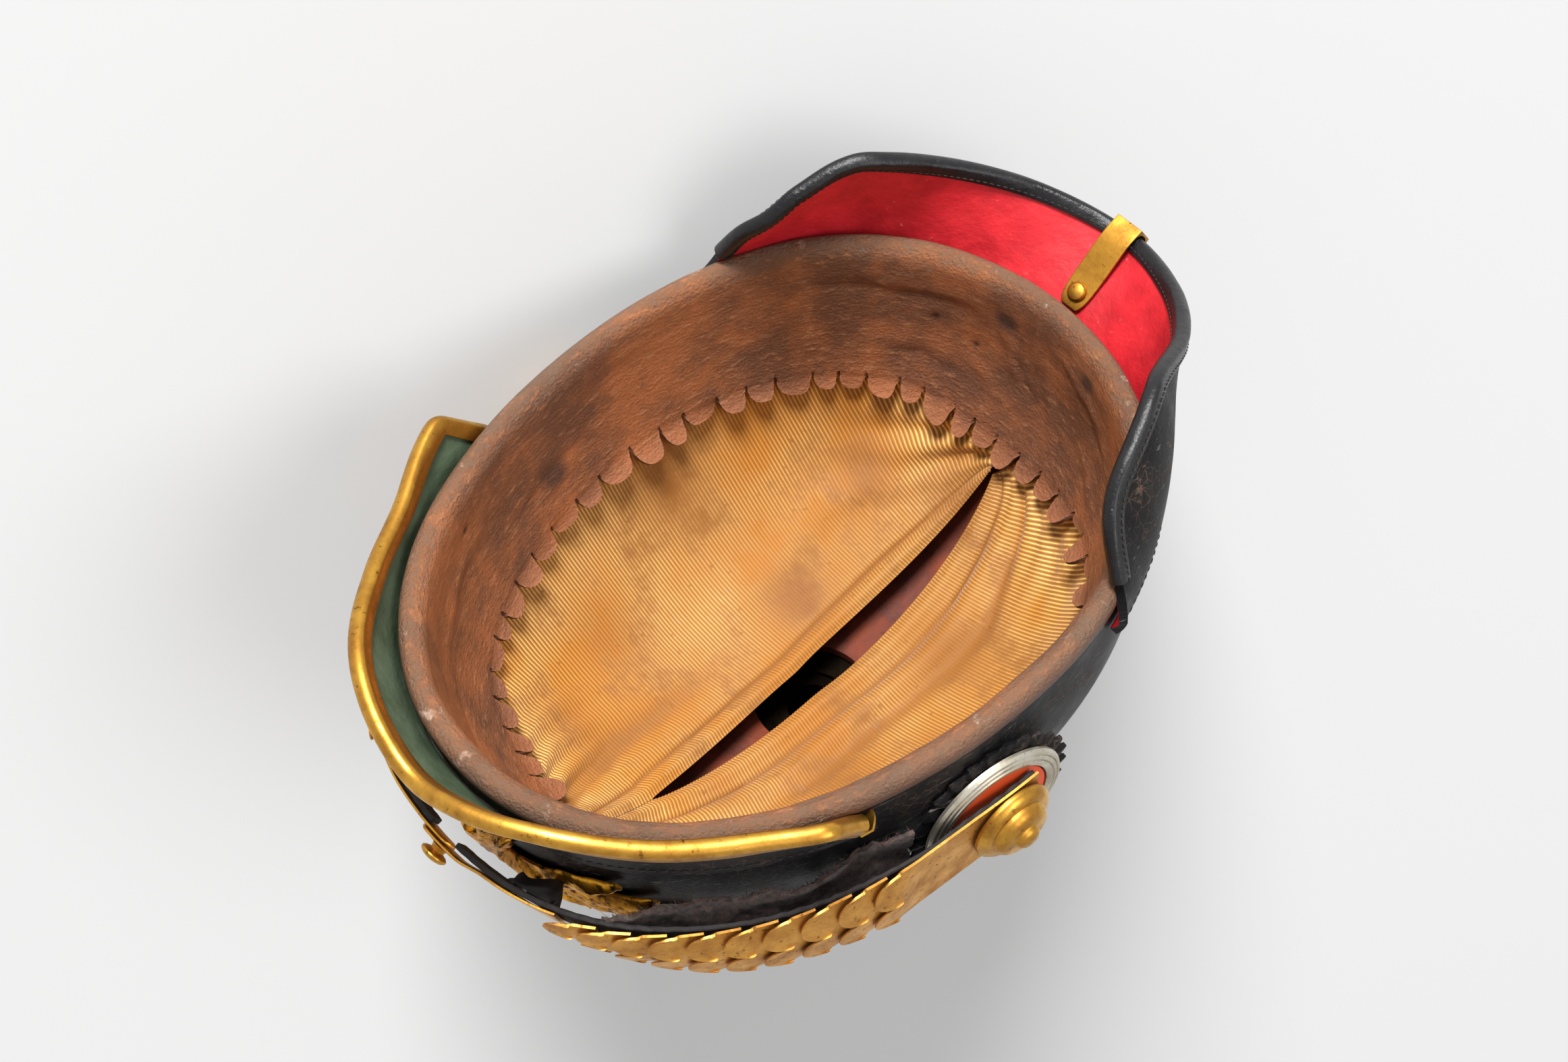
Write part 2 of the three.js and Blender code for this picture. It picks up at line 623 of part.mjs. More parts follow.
// Plate that lies on the crown: a cross cut out of the gap between two domes
function makeSpikeBase() {
  const over = (lift) => {
    const dome = grown(skull, lift);
    const stations = 26;
    const rhos = [0.08, 0.22, 0.36, 0.5, 0.64];
    const round = (rho) => range(stations).map((k) => domeAtRho(dome, (360 * k) / stations, rho));
    const floor = round(rhos.at(-1)).map((p) => p.setZ(skull.height / 2));
    return solidOf(loft([...rhos.map(round), floor]));
  };
  const outline = new THREE.Shape();
  const w = spikeBase.armWidth / 2;
  const corner = Math.sqrt(spikeBase.discRadius ** 2 - w ** 2);
  const reach = spikeBase.armReach - w;
  range(4).forEach((k) => {
    const turn = (k * Math.PI) / 2;
    const [c, s] = [Math.cos(turn), Math.sin(turn)];
    const spot = (x, y) => [x * c - y * s, x * s + y * c];
    if (k === 0) outline.moveTo(...spot(corner, -w));
    outline.lineTo(...spot(corner, -w));
    outline.lineTo(...spot(reach, -w));
    outline.absarc(...spot(reach, 0), w, turn - Math.PI / 2, turn + Math.PI / 2, false);
    outline.lineTo(...spot(corner, w));
  });
  outline.closePath();
  outline.holes.push(new THREE.Path().absarc(0, 0, spikeBase.holeRadius, 0, 2 * Math.PI, true));
  const sizes = { depth: skull.height, bevelEnabled: false, curveSegments: 7 };
  const cross = new THREE.ExtrudeGeometry(outline, sizes);
  cross.translate(0, -crownBack, skull.height * 0.6);
  const leaf = over(spikeBase.standOff + spikeBase.thick).subtract(over(spikeBase.standOff));
  return geometryOf(leaf.intersect(solidOf(cross)));
}

const crownTop = skull.height + spikeBase.standOff + spikeBase.thick;
const crownCentre = vec(0, -crownBack, crownTop + gap);

// Point on a dome near the crown, above a spot (x, y) measured from the crown's middle
function onCrown(dome, x, y) {
  const swell = ovalPoint(THREE.MathUtils.radToDeg(Math.atan2(y, x)), 1, 1).length();
  let z = dome.height;
  range(8).forEach(() => {
    const rho = Math.hypot(x / dome.halfWidth, (y - crownBack - crownShift(z)) / dome.halfLength) / swell;
    z = dome.height * (1 - rho ** dome.roundness) ** (1 / dome.roundness);
  });
  return vec(x, y - crownBack, z);
}

function makeStuds() {
  range(4).forEach((k) => {
    const turn = (k * Math.PI) / 2;
    const x = baseStud.ringRadius * Math.cos(turn);
    const y = baseStud.ringRadius * Math.sin(turn);
    const lift = spikeBase.standOff + spikeBase.thick + gap;
    const find = (px, py) => onCrown(grown(skull, lift), px, py);
    const base = find(x, y);
    const across = find(x + 1, y).sub(find(x - 1, y));
    const normal = across.cross(find(x, y + 1).sub(find(x, y - 1))).normalize();
    base.addScaledVector(normal, baseStud.seat);
    const { radius: r, height: h } = baseStud;
    const profile = [[0, 0], [r, 0], [0.85 * r, 0.6 * h], [0, h]];
    addPiece(`base_stud_${k + 1}`, turned(profile, 12, base, normal), brass);
  });
}

function makeSpike() {
  const { innerRadius: inner, outerRadius: outer, height } = collar;
  const collarProfile = [[inner, 0], [outer, 0], [outer + 0.4, height * 0.35], [outer - 1.5, height * 0.7]];
  collarProfile.push([inner + 1, height], [inner, height], [inner, 0]);
  addPiece('spike_collar', turned(collarProfile, 18, crownCentre, vec(0, 0, 1)), brass);
  const foot = spike.footRadius;
  const inside = spike.waistRadius - spike.wall;
  const bore = [[0, spike.hollow], [inside * 0.5, spike.hollow * 0.8], [inside, 14], [inside, 0]];
  const stem = [[foot, 0], [foot, 7], [foot - 2.6, 10], [spike.waistRadius, 14]];
  const bulb = [[spike.waistRadius + 1.6, 20], [spike.waistRadius + 0.6, 30], [5.6, 66]];
  const point = [[spike.tipRadius, spike.length - 1.2], [0, spike.length]];
  const profile = [...bore, ...stem, ...bulb, ...point];
  addPiece('spike', turned(profile, 14, crownCentre, vec(0, 0, 1)), brass);
}

// ---------------------------------------------------------------- cockades and bosses

function makeCockade(side) {
  const { name, sign } = side;
  const axis = vec(sign, cockade.turn, 0).normalize();
  const rimX = ovalPoint(sign > 0 ? 0 : 180, skull.halfWidth, skull.halfLength).x;
  const base = vec(rimX + sign * cockade.standOff, cockade.forward, cockade.height);
  const { radius, teeth, toothDepth, edgeThick, rise, seatRadius } = cockadeDisc;
  const turn = new THREE.Quaternion().setFromUnitVectors(vec(0, 0, 1), axis);
  const lay = (p) => p.applyQuaternion(turn).add(base);
  const discRing = (outer, depth, height) => range(2 * teeth).map((k) => {
    const r = outer - (k % 2 ? depth : 0);
    const a = (Math.PI * k) / teeth;
    return lay(vec(r * Math.cos(a), r * Math.sin(a), height));
  });
  const edge = discRing(radius, toothDepth, edgeThick);
  const disc = loft([discRing(radius, toothDepth, 0), edge, discRing(seatRadius, 0.4, rise)]);
  addPiece(`cockade_disc_${name}`, disc, blackLeather);
  const at = (height) => base.clone().addScaledVector(axis, height);
  const ringFoot = [[ring.inner, 0], [seatRadius, 0], [ring.outer, -0.9], [ring.outer, -0.2]];
  const ringFace = [[ring.outer - 1.2, ring.rise], [ring.inner + 0.8, ring.rise], [ring.inner, 0]];
  const ringProfile = [...ringFoot, ...ringFace];
  addPiece(`cockade_ring_${name}`, turned(ringProfile, 22, at(rise + gap), axis), silver);
  const centre = [[0, 0], [ring.inner - gap, 0], [ring.inner - gap, 0.7], [0, 0.9]];
  const paint = name === 'right' ? redPaint : blackPaint;
  addPiece(`cockade_centre_${name}`, turned(centre, 22, at(rise + gap), axis), paint);
}

// ---------------------------------------------------------------- chin strap

// Middle line of the strap, and the directions across its face and away from the skull
function strapFrame(side, angle) {
  const spot = (a) => {
    const tucked = strapRun.tuck * (1 - THREE.MathUtils.smoothstep(a, 7, 16));
    const swell = side.bulge * Math.sin(rad(2 * a)) ** 2 - tucked;
    return ovalPoint(side.sign > 0 ? a : 180 - a, strap.halfWidth + swell, strap.halfLength + swell);
  };
  const origin = spot(angle);
  const along = spot(angle + 0.5).sub(spot(angle - 0.5)).normalize();
  const out = vec(along.y, -along.x, 0).multiplyScalar(side.sign);
  const lean = rad(strapLean) * THREE.MathUtils.smoothstep(angle, 40, 85);
  const up = vec(0, 0, Math.cos(lean)).addScaledVector(out, -Math.sin(lean));
  const face = out.multiplyScalar(Math.cos(lean)).add(vec(0, 0, Math.sin(lean)));
  origin.z = lerp(strap.height, strap.frontHeight, THREE.MathUtils.smoothstep(angle, 30, 90));
  return { origin, along, up, face };
}

// Section of a strip on the strap: flat or bowed, its lower face `lift` off the strap's middle
function stripSection(frame, width, thick, lift, bow = 0) {
  const { origin, up, face } = frame;
  const at = (across, out) => origin.clone().addScaledVector(up, across).addScaledVector(face, out + lift);
  const w = width / 2;
  return [at(-w, 0), at(0, bow), at(w, 0), at(w, thick), at(0, thick + bow), at(-w, thick)];
}

function makeStrapLeather(side) {
  const steps = 20;
  const sections = range(steps + 1).map((k) => {
    const angle = lerp(strapRun.from, strapRun.to, k / steps);
    const width = tableAt(strapWidths, 'leather', angle);
    return stripSection(strapFrame(side, angle), width, strap.thick, -strap.thick);
  });
  addPiece(`strap_${side.name}`, loft(sections), blackLeather);
}

// Overlapping scales, each lying on the next one towards the brow
function makeScales(side) {
  const shape = [ // how far along the scale, its width there and its height off the leather
    { part: 0, width: 0.92, lift: 0.2 },
    { part: 0.7, width: 1, lift: 1.5 },
    { part: 0.92, width: 0.86, lift: 1.9 },
    { part: 1, width: 0.5, lift: 2 },
  ];
  range(scale.count).forEach((k) => {
    const end = scale.first + k * scale.pitch;
    const start = end - scale.pitch * scale.lap;
    const full = tableAt(strapWidths, 'brass', end);
    const sections = shape.map(({ part, width, lift }) => {
      const bow = scale.bow * width;
      const height = gap + lift + scale.bow - bow;
      return stripSection(strapFrame(side, lerp(start, end, part)), full * width, scale.thick, height, bow);
    });
    const flat = (angle) => stripSection(strapFrame(side, angle), full * 0.92, scale.thick, gap);
    const root = k === 0 ? [flat(strapRun.from), flat(boss.angle), flat(scale.flatTo)] : [];
    const number = String(k + 1).padStart(2, '0');
    addPiece(`scale_${side.name}_${number}`, loft([...root, ...sections]), brass);
  });
}

// Domed screw that holds the strap's end over the cockade
function makeBoss(side) {
  const frame = strapFrame(side, boss.angle);
  const base = frame.origin.addScaledVector(frame.face, 3 * gap + scale.thick);
  const { radius: r, height: h } = boss;
  const washer = [[0, 0], [r, 0], [r, 0.16 * h], [0.88 * r, 0.34 * h], [0.72 * r, 0.4 * h]];
  const knob = [[0.7 * r, 0.52 * h], [0.5 * r, 0.74 * h], [0.3 * r, 0.78 * h], [0.26 * r, 0.92 * h], [0, h]];
  addPiece(`boss_${side.name}`, turned([...washer, ...knob], 14, base, frame.face), brass);
}

// Remains of the cloth behind the strap, crumpled towards the shell
function makeStrapCloth(side) {
  const steps = 22;
  const sections = range(steps + 1).map((k) => {
    const t = k / steps;
    const frame = strapFrame(side, lerp(cloth.from, cloth.to, t));
    const wave = 0.5 - 0.5 * Math.cos(2 * Math.PI * cloth.waves * t);
    const depth = strap.thick + gap + cloth.thick + cloth.depth * wave * (1 - 0.4 * t);
    return stripSection(frame, cloth.width * (1 - 0.35 * t), cloth.thick, -depth);
  });
  addPiece(`strap_cloth_${side.name}`, loft(sections), feltCloth);
}

function makeStrapEnd(side) {
  const angles = [strapEnd.from, 73, 78, 80, 84, 88, side.endTo];
  const sections = angles.map((angle) => {
    const lift = lerp(gap, side.endLift, THREE.MathUtils.smoothstep(angle, 80, 86));
    const width = tableAt(strapWidths, 'brass', angle);
    return stripSection(strapFrame(side, angle), width, strapEnd.thick, lift);
  });
  addPiece(`strap_end_${side.name}`, loft(sections), brass);
}

function makeStrapStud() {
  const side = strapSides[0];
  const frame = strapFrame(side, strapStud.angle);
  const base = frame.origin.addScaledVector(frame.face, side.endLift + strapEnd.thick + gap);
  const { radius: r, height: h } = strapStud;
  const profile = [[0, 0], [0.6 * r, 0], [0.5 * r, 0.3 * h], [r, 0.5 * h], [0.8 * r, 0.85 * h], [0, h]];
  addPiece('strap_stud', turned(profile, 12, base, frame.face), brass);
}

// ---------------------------------------------------------------- putting it together

addPiece('shell', makeShell(), blackLeather);
addPiece('sweatband', makeSweatband(), brownLeather);
addPiece('lining_right', makeLining(1), silk);
addPiece('lining_left', makeLining(-1), silk);
addPiece('front_visor', makeVisor(frontVisor, frontVisorEdge), greenLeather);
addPiece('front_visor_trim', edgeChannel(frontEdgePath(), frontVisor.thick, trim), brass);
addPiece('rear_visor', makeVisor(rearVisor, rearVisorEdge), redLeather);
addPiece('rear_visor_binding', edgeChannel(rearEdgePath(), rearVisor.thick, binding), blackLeather);
addPiece('rear_spine', makeSpine(), brass);
addPiece('rear_spine_rivet', makeSpineRivet(), brass);
addPiece('front_plate', makeFrontPlate(), brass);
addPiece('spike_base', makeSpikeBase(), brass);
makeStuds();
makeSpike();
strapSides.forEach((side) => {
  makeCockade(side);
  makeStrapLeather(side);
  makeScales(side);
  makeStrapEnd(side);
  makeBoss(side);
});
makeStrapCloth(strapSides[0]);
makeStrapStud();

// ---------------------------------------------------------------- laying it down

const corners = helmet.children.flatMap((mesh) => {
  const position = mesh.geometry.getAttribute('position');
  return range(position.count).map((i) => new THREE.Vector3().fromBufferAttribute(position, i));
});

// Centre of the solid pieces, all of one density
function centreOfPieces() {
  const centre = vec(0, 0, 0);
  let total = 0;
  helmet.children.forEach(({ geometry }) => {
    const position = geometry.getAttribute('position');
    const order = geometry.getIndex().array;
    for (let i = 0; i < order.length; i += 3) {
      const [a, b, c] = [0, 1, 2].map((j) => new THREE.Vector3().fromBufferAttribute(position, order[i + j]));
      const volume = a.dot(b.clone().cross(c)) / 6;
      total += volume;
      centre.addScaledVector(a.add(b).add(c), volume / 4);
    }
  });
  return centre.divideScalar(total);
}

// Rolls on from a first guess to the direction of the floor in which the centre lies lowest
function settledDown(guess) {
  const centre = centreOfPieces();
  const height = (way) => {
    const reach = corners.reduce((most, p) => Math.max(most, p.dot(way)), -Infinity);
    return reach - centre.dot(way);
  };
  const ways = 24; // tried all round at each size of roll, in degrees
  let best = guess.clone().normalize();
  for (let roll = 3; roll > 0.001; roll *= 0.85) {
    const sideways = best.clone().cross(vec(0, 0, 1)).normalize();
    const lengthways = best.clone().cross(sideways);
    range(ways).forEach((k) => {
      const a = (2 * Math.PI * k) / ways;
      const way = sideways.clone().multiplyScalar(Math.cos(a)).addScaledVector(lengthways, Math.sin(a));
      const tried = best.clone().addScaledVector(way, Math.tan(rad(roll))).normalize();
      if (height(tried) < height(best) - 1e-7) best = tried;
    });
  }
  return best;
}

// It lies on the spike's tip, the left cockade and the left side of the back, opening towards -Y
const down = settledDown(vec(...lying));
helmet.quaternion.setFromUnitVectors(down, vec(0, 0, -1));
const opening = vec(0, 0, -1).applyQuaternion(helmet.quaternion);
const turn = -Math.PI / 2 - Math.atan2(opening.y, opening.x);
helmet.quaternion.premultiply(new THREE.Quaternion().setFromAxisAngle(vec(0, 0, 1), turn));
const laidDown = corners.map((p) => p.clone().applyQuaternion(helmet.quaternion));
const bounds = new THREE.Box3().setFromPoints(laidDown);
const middle = bounds.getCenter(vec(0, 0, 0));
helmet.position.set(-middle.x, -middle.y, -bounds.min.z);

export default helmet;
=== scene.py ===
import math

import bmesh
import bpy
import numpy as np
from mathutils import Matrix, Vector, noise


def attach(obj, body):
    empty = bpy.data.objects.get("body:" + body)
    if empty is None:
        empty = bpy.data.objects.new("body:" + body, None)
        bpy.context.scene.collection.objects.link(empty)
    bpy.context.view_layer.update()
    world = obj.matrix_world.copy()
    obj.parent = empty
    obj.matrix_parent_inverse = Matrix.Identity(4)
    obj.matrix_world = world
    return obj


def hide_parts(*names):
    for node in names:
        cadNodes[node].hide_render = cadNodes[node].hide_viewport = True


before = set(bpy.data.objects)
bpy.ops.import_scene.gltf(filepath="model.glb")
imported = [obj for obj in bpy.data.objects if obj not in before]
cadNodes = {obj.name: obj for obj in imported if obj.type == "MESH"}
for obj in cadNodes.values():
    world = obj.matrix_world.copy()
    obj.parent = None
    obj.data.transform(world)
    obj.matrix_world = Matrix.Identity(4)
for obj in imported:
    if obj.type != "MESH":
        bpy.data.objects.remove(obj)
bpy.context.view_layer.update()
print("frame loaded:", len(cadNodes), "nodes")

# Sizes are millimetres in the helmet's own frame: +X the wearer's right, +Y the brow, +Z the crown, with the
# origin at the rim. placed() takes them to metres where the helmet lies.

skull = {"halfWidth": 83, "halfLength": 107, "height": 103, "roundness": 2.6, "wall": 2.8, "edgeZ": 1.5}
plan = {"egg": 0.053, "boxy": 0.105, "pressed": 0.012, "crownBack": 10}
linerDome = {"halfWidth": 78.6, "halfLength": 102.6, "height": 90, "roundness": 2.6}
gap = 0.3  # between pieces that touch
spikeFoot = skull["height"] + 2.3 + gap  # height of the collar's and the spike's foot, over the base plate


# where the helmet lies, found from the turned brass pieces

def pointsOf(name):
    return np.array([v.co for v in cadNodes[name].data.vertices]) * 1000


def unit(v):
    return v / np.linalg.norm(v, axis=-1, keepdims=True)


def findHelmet():
    foot, spikePoints = pointsOf("spike_collar"), pointsOf("spike")
    tip = spikePoints[np.argmax(np.linalg.norm(spikePoints - foot.mean(0), axis=1))]
    right = unit(pointsOf("cockade_centre_right").mean(0) - pointsOf("cockade_centre_left").mean(0))
    up = tip - foot.mean(0)
    up = unit(up - right * (up @ right))
    axes = np.stack([right, np.cross(up, right), up], axis=1)
    crown = foot.mean(0) + up * ((foot @ up).min() - foot.mean(0) @ up)
    return axes, crown - axes @ np.array([0, -plan["crownBack"], spikeFoot])


axes, origin = findHelmet()


def placed(points):
    return (np.asarray(points, float) @ axes.T + origin) / 1000


# the skull's surface

def oval(angle, halfWidth, halfLength):
    a = np.radians(angle)
    s, c = np.sin(a), np.cos(a)
    full = 1 - plan["egg"] * s + plan["boxy"] * s * s + plan["pressed"] * c
    x, y = halfWidth * c * full, halfLength * s
    return np.stack(np.broadcast_arrays(x, y, 0.0 * x), -1)


def outward(angle):
    before, after = (oval(angle + turn, skull["halfWidth"], skull["halfLength"]) for turn in (-0.5, 0.5))
    along = unit(after - before)
    return np.stack([along[..., 1], -along[..., 0], 0 * along[..., 0]], -1)


def crownShift(z):
    return -plan["crownBack"] * np.clip(z / skull["height"], 0, 1) ** 1.5


def atHeight(dome, angle, z, inset):
    angle, z, inset = np.broadcast_arrays(*map(np.asarray, (angle, z, inset)))
    share = (1 - np.clip(z / dome["height"], 0, 1) ** dome["roundness"]) ** (1 / dome["roundness"])
    p = oval(angle, dome["halfWidth"] * share, dome["halfLength"] * share) - outward(angle) * inset[..., None]
    p[..., 1] += crownShift(z)
    p[..., 2] = z
    return p


def atRho(dome, angle, rho, inset):
    angle, rho, inset = np.broadcast_arrays(*map(np.asarray, (angle, rho, inset)))
    z = (dome["height"] - inset) * (1 - np.minimum(rho, 1) ** dome["roundness"]) ** (1 / dome["roundness"])
    p = oval(angle, (dome["halfWidth"] - inset) * rho, (dome["halfLength"] - inset) * rho)
    p[..., 1] += crownShift(z)
    p[..., 2] = z
    return p


def tableAt(table, column, angle):  # a smooth curve through a table's column
    x, y = np.array(table["angle"], float), np.array(table[column], float)
    angle, last = np.asarray(angle, float), len(x) - 1
    i = np.clip(np.searchsorted(x, angle, side="right") - 1, 0, last - 1)
    t = (angle - x[i]) / (x[i + 1] - x[i])
    a, b, c, d = y[np.maximum(i - 1, 0)], y[i], y[i + 1], y[np.minimum(i + 2, last)]
    square, cube = 2 * a - 5 * b + 4 * c - d, 3 * b - a - 3 * c + d
    return 0.5 * (2 * b + (c - a) * t + square * t * t + cube * t ** 3)


def rowsOf(table):
    return zip(*table.values())


def smoothStep(x, low, high):
    t = np.clip((np.asarray(x, float) - low) / (high - low), 0, 1)
    return t * t * (3 - 2 * t)


def ripple(points, size, seed):
    points = np.asarray(points, float)
    shift = Vector((seed * 7.3, seed * 3.1, seed))
    values = [noise.noise(Vector(p) + shift) for p in points.reshape(-1, 3) / size]
    return np.array(values).reshape(points.shape[:-1])


# meshes

def linked(name, data):
    obj = bpy.data.objects.new(name, data)
    bpy.context.scene.collection.objects.link(obj)
    return obj


def newObject(name, points, faces, uv=None, loose=()):
    mesh = bpy.data.meshes.new(name)
    mesh.from_pydata(placed(points).tolist(), list(loose), faces)
    if uv is not None:
        layer = mesh.uv_layers.new(name="surface")
        order = np.zeros(len(mesh.loops), int)
        mesh.loops.foreach_get("vertex_index", order)
        layer.data.foreach_set("uv", np.asarray(uv, float)[order].ravel())
    return linked(name, mesh)


def gridFaces(rows, columns, flip=False):
    i, j = np.meshgrid(np.arange(rows - 1), np.arange(columns - 1), indexing="ij")
    a = (i * columns + j).ravel()
    quads = np.stack([a, a + 1, a + 1 + columns, a + columns], 1)
    return (quads[:, ::-1] if flip else quads).tolist()


def gridObject(name, grid, uv, flip=False):
    return newObject(name, grid.reshape(-1, 3), gridFaces(*grid.shape[:2], flip), uv.reshape(-1, 2))


def markPoints(obj, **marks):  # shares from 0 to 1 that the finishes read
    for label, values in marks.items():
        data = obj.data.attributes.new(label, "FLOAT", "POINT").data
        data.foreach_set("value", values.astype(float).ravel())


def weld(obj, distance=2e-6, closed=False):
    shape = bmesh.new()
    shape.from_mesh(obj.data)
    bmesh.ops.remove_doubles(shape, verts=shape.verts, dist=distance)
    bmesh.ops.dissolve_degenerate(shape, edges=shape.edges, dist=distance / 2)
    if closed:
        bmesh.ops.recalc_face_normals(shape, faces=shape.faces)
        if shape.calc_volume(signed=True) < 0:
            bmesh.ops.reverse_faces(shape, faces=shape.faces)
    shape.to_mesh(obj.data)
    shape.free()
    return obj


def settle(obj, sharp=38):  # what the modifiers make becomes the plain mesh
    made = bpy.data.meshes.new_from_object(obj.evaluated_get(bpy.context.evaluated_depsgraph_get()))
    obj.modifiers.clear()
    old, obj.data = obj.data, made
    bpy.data.meshes.remove(old)
    obj.data.name = obj.name
    obj.data.polygons.foreach_set("use_smooth", [True] * len(obj.data.polygons))
    obj.data.set_sharp_from_angle(angle=math.radians(sharp))
    return obj


def thicken(obj, thick):  # the wall grows behind the face that shows
    wall = obj.modifiers.new("wall", "SOLIDIFY")
    wall.thickness, wall.offset = thick / 1000, -1
    return wall


def sheetObject(name, grid, uv, material, thick):
    obj = weld(gridObject(name, grid, uv))
    obj.data.materials.append(material)
    thicken(obj, thick)
    return settle(obj)


def ringFaces(rows, columns):  # a closed skin over rows of points, with a cap at both ends
    last = (rows - 1) * columns
    caps = [list(range(columns - 1)), [last + k for k in reversed(range(columns - 1))]]
    return gridFaces(rows, columns) + caps


def loftObject(name, sections, materials, joined=False, picks=None, sharp=38):
    sections = np.asarray(sections, float)
    ring = np.concatenate([sections, sections[:, :1]], 1)
    if joined:
        ring = np.concatenate([ring, ring[:1]], 0)
    rows, columns = ring.shape[:2]
    faces = gridFaces(rows, columns) if joined else ringFaces(rows, columns)
    obj = newObject(name, ring.reshape(-1, 3), faces)
    for material in materials:
        obj.data.materials.append(material)
    if picks is not None:
        everyFace = np.tile(picks, rows - 1).tolist() + [0] * (0 if joined else 2)
        obj.data.polygons.foreach_set("material_index", everyFace)
    return settle(weld(obj, closed=True), sharp)


def latheObject(name, profile, sides, base, axis, materials, sharp=38, picks=None):
    axis = unit(np.array(axis, float))
    side = unit(np.cross(axis, [0.0, 0.0, 1.0] if abs(axis[2]) < 0.9 else [1.0, 0.0, 0.0]))
    other = np.cross(axis, side)
    turns = 2 * np.pi * np.arange(sides) / sides
    ways = [side * math.cos(a) + other * math.sin(a) for a in turns]
    sections = [[np.array(base) + axis * h + way * r for r, h in profile] for way in ways]
    return loftObject(name, sections, materials, joined=True, picks=picks, sharp=sharp)


def ridesFor(obj, slot, *nodesStoodFor):
    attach(obj, "root")
    if nodesStoodFor:
        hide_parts(*nodesStoodFor)
    return obj


# finishes

def toLinear(hexColour):
    parts = [int(hexColour[k:k + 2], 16) / 255 for k in (1, 3, 5)]
    return tuple(p / 12.92 if p <= 0.04045 else ((p + 0.055) / 1.055) ** 2.4 for p in parts) + (1.0,)


def addNode(tree, kind, inputs=None, **settings):  # an input is a number, a colour, a socket or a node
    node = tree.nodes.new(kind)
    for key, value in settings.items():
        setattr(node, key, value)
    for key, value in (inputs or {}).items():
        value = value.outputs[0] if isinstance(value, bpy.types.Node) else value
        if isinstance(value, bpy.types.NodeSocket):
            tree.links.new(value, node.inputs[key])
        else:
            node.inputs[key].default_value = toLinear(value) if str(value).startswith("#") else value
    return node


def newFinish(name, patterns, **shaderInputs):  # each pattern has a size in mm, a detail and a roughness
    material = bpy.data.materials.new(name)
    material.use_nodes = True
    tree = material.node_tree
    tree.nodes.clear()
    shader = addNode(tree, "ShaderNodeBsdfPrincipled", shaderInputs)
    addNode(tree, "ShaderNodeOutputMaterial", {"Surface": shader})
    place = addNode(tree, "ShaderNodeTexCoord").outputs["Object"]
    mm = addNode(tree, "ShaderNodeVectorMath", {0: place, "Scale": 1000}, operation="SCALE")
    made = [addNode(tree, "ShaderNodeTexNoise", {
        "Vector": mm, "Scale": 1 / size, "Detail": detail, "Roughness": rough})
        for size, detail, rough in patterns]
    return material, tree, shader, mm, made


def layered(tree, colour, *layers):  # each tone covers the colour below it, up to its most, from low to high
    for pattern, low, high, most, tone in layers:
        share = addNode(tree, "ShaderNodeMapRange", {"Value": pattern, 1: low, 2: high, 3: 0, 4: most})
        colour = addNode(tree, "ShaderNodeMix", {0: share, 6: colour, 7: tone}, data_type="RGBA").outputs[2]
    return colour


def finished(material, shader, colour, height, strength, depth, gloss=None):
    tree = material.node_tree
    bump = addNode(tree, "ShaderNodeBump", {"Height": height, "Strength": strength, "Distance": depth / 1000})
    tree.links.new(colour, shader.inputs["Base Color"])
    tree.links.new(bump.outputs[0], shader.inputs["Normal"])
    if gloss:  # a pattern, its low and high, and the roughness there
        rough = addNode(tree, "ShaderNodeMapRange", dict(zip(("Value", 1, 2, 3, 4), gloss)))
        tree.links.new(rough.outputs[0], shader.inputs["Roughness"])
    return material


def lacqueredCowhide():  # thick cowhide, japanned black and polished: deep gloss gone dull, crazed, rubbed
    material, tree, shader, mm, (rubs, grain) = newFinish(
        "lacqueredCowhide", [(26, 7, 0.65), (0.9, 3, 0.5)], **{"Specular IOR Level": 0.12})
    warp = addNode(tree, "ShaderNodeTexNoise", {"Vector": mm, "Scale": 1 / 5, "Detail": 3})
    bent = addNode(tree, "ShaderNodeVectorMath", {0: warp.outputs["Color"], 1: (3, 3, 3), 2: mm},
                   operation="MULTIPLY_ADD")
    cells = addNode(tree, "ShaderNodeTexVoronoi", {"Vector": bent, "Scale": 1 / 3.2},
                    feature="DISTANCE_TO_EDGE")  # crazing in cells of about 3 mm
    crack = addNode(tree, "ShaderNodeMapRange", {"Value": cells, 1: 0, 2: 0.05, 3: 1, 4: 0})
    rub = addNode(tree, "ShaderNodeMapRange", {"Value": rubs, 1: 0.5, 2: 0.72})
    lean = addNode(tree, "ShaderNodeMapping", {
        "Vector": mm, "Rotation": (0.5, 0.9, 0.3), "Scale": (0.05, 1.4, 0.3)})
    scratches = addNode(tree, "ShaderNodeTexNoise", {"Vector": lean, "Scale": 1, "Detail": 4})
    worn = addNode(tree, "ShaderNodeMath", {0: crack, 1: rub}, operation="MULTIPLY")
    colour = layered(tree, "#0c0b0d", (rub, 0, 1, 1, "#1f1b19"), (worn, 0, 1, 1, "#5b4638"),
                     (scratches, 0.66, 0.7, 0.6, "#77716c"))
    relief = addNode(tree, "ShaderNodeMath", {0: crack, 1: -0.6, 2: grain}, operation="MULTIPLY_ADD")
    return finished(material, shader, colour, relief, 0.6, 0.22, (rubs, 0.3, 0.7, 0.34, 0.62))


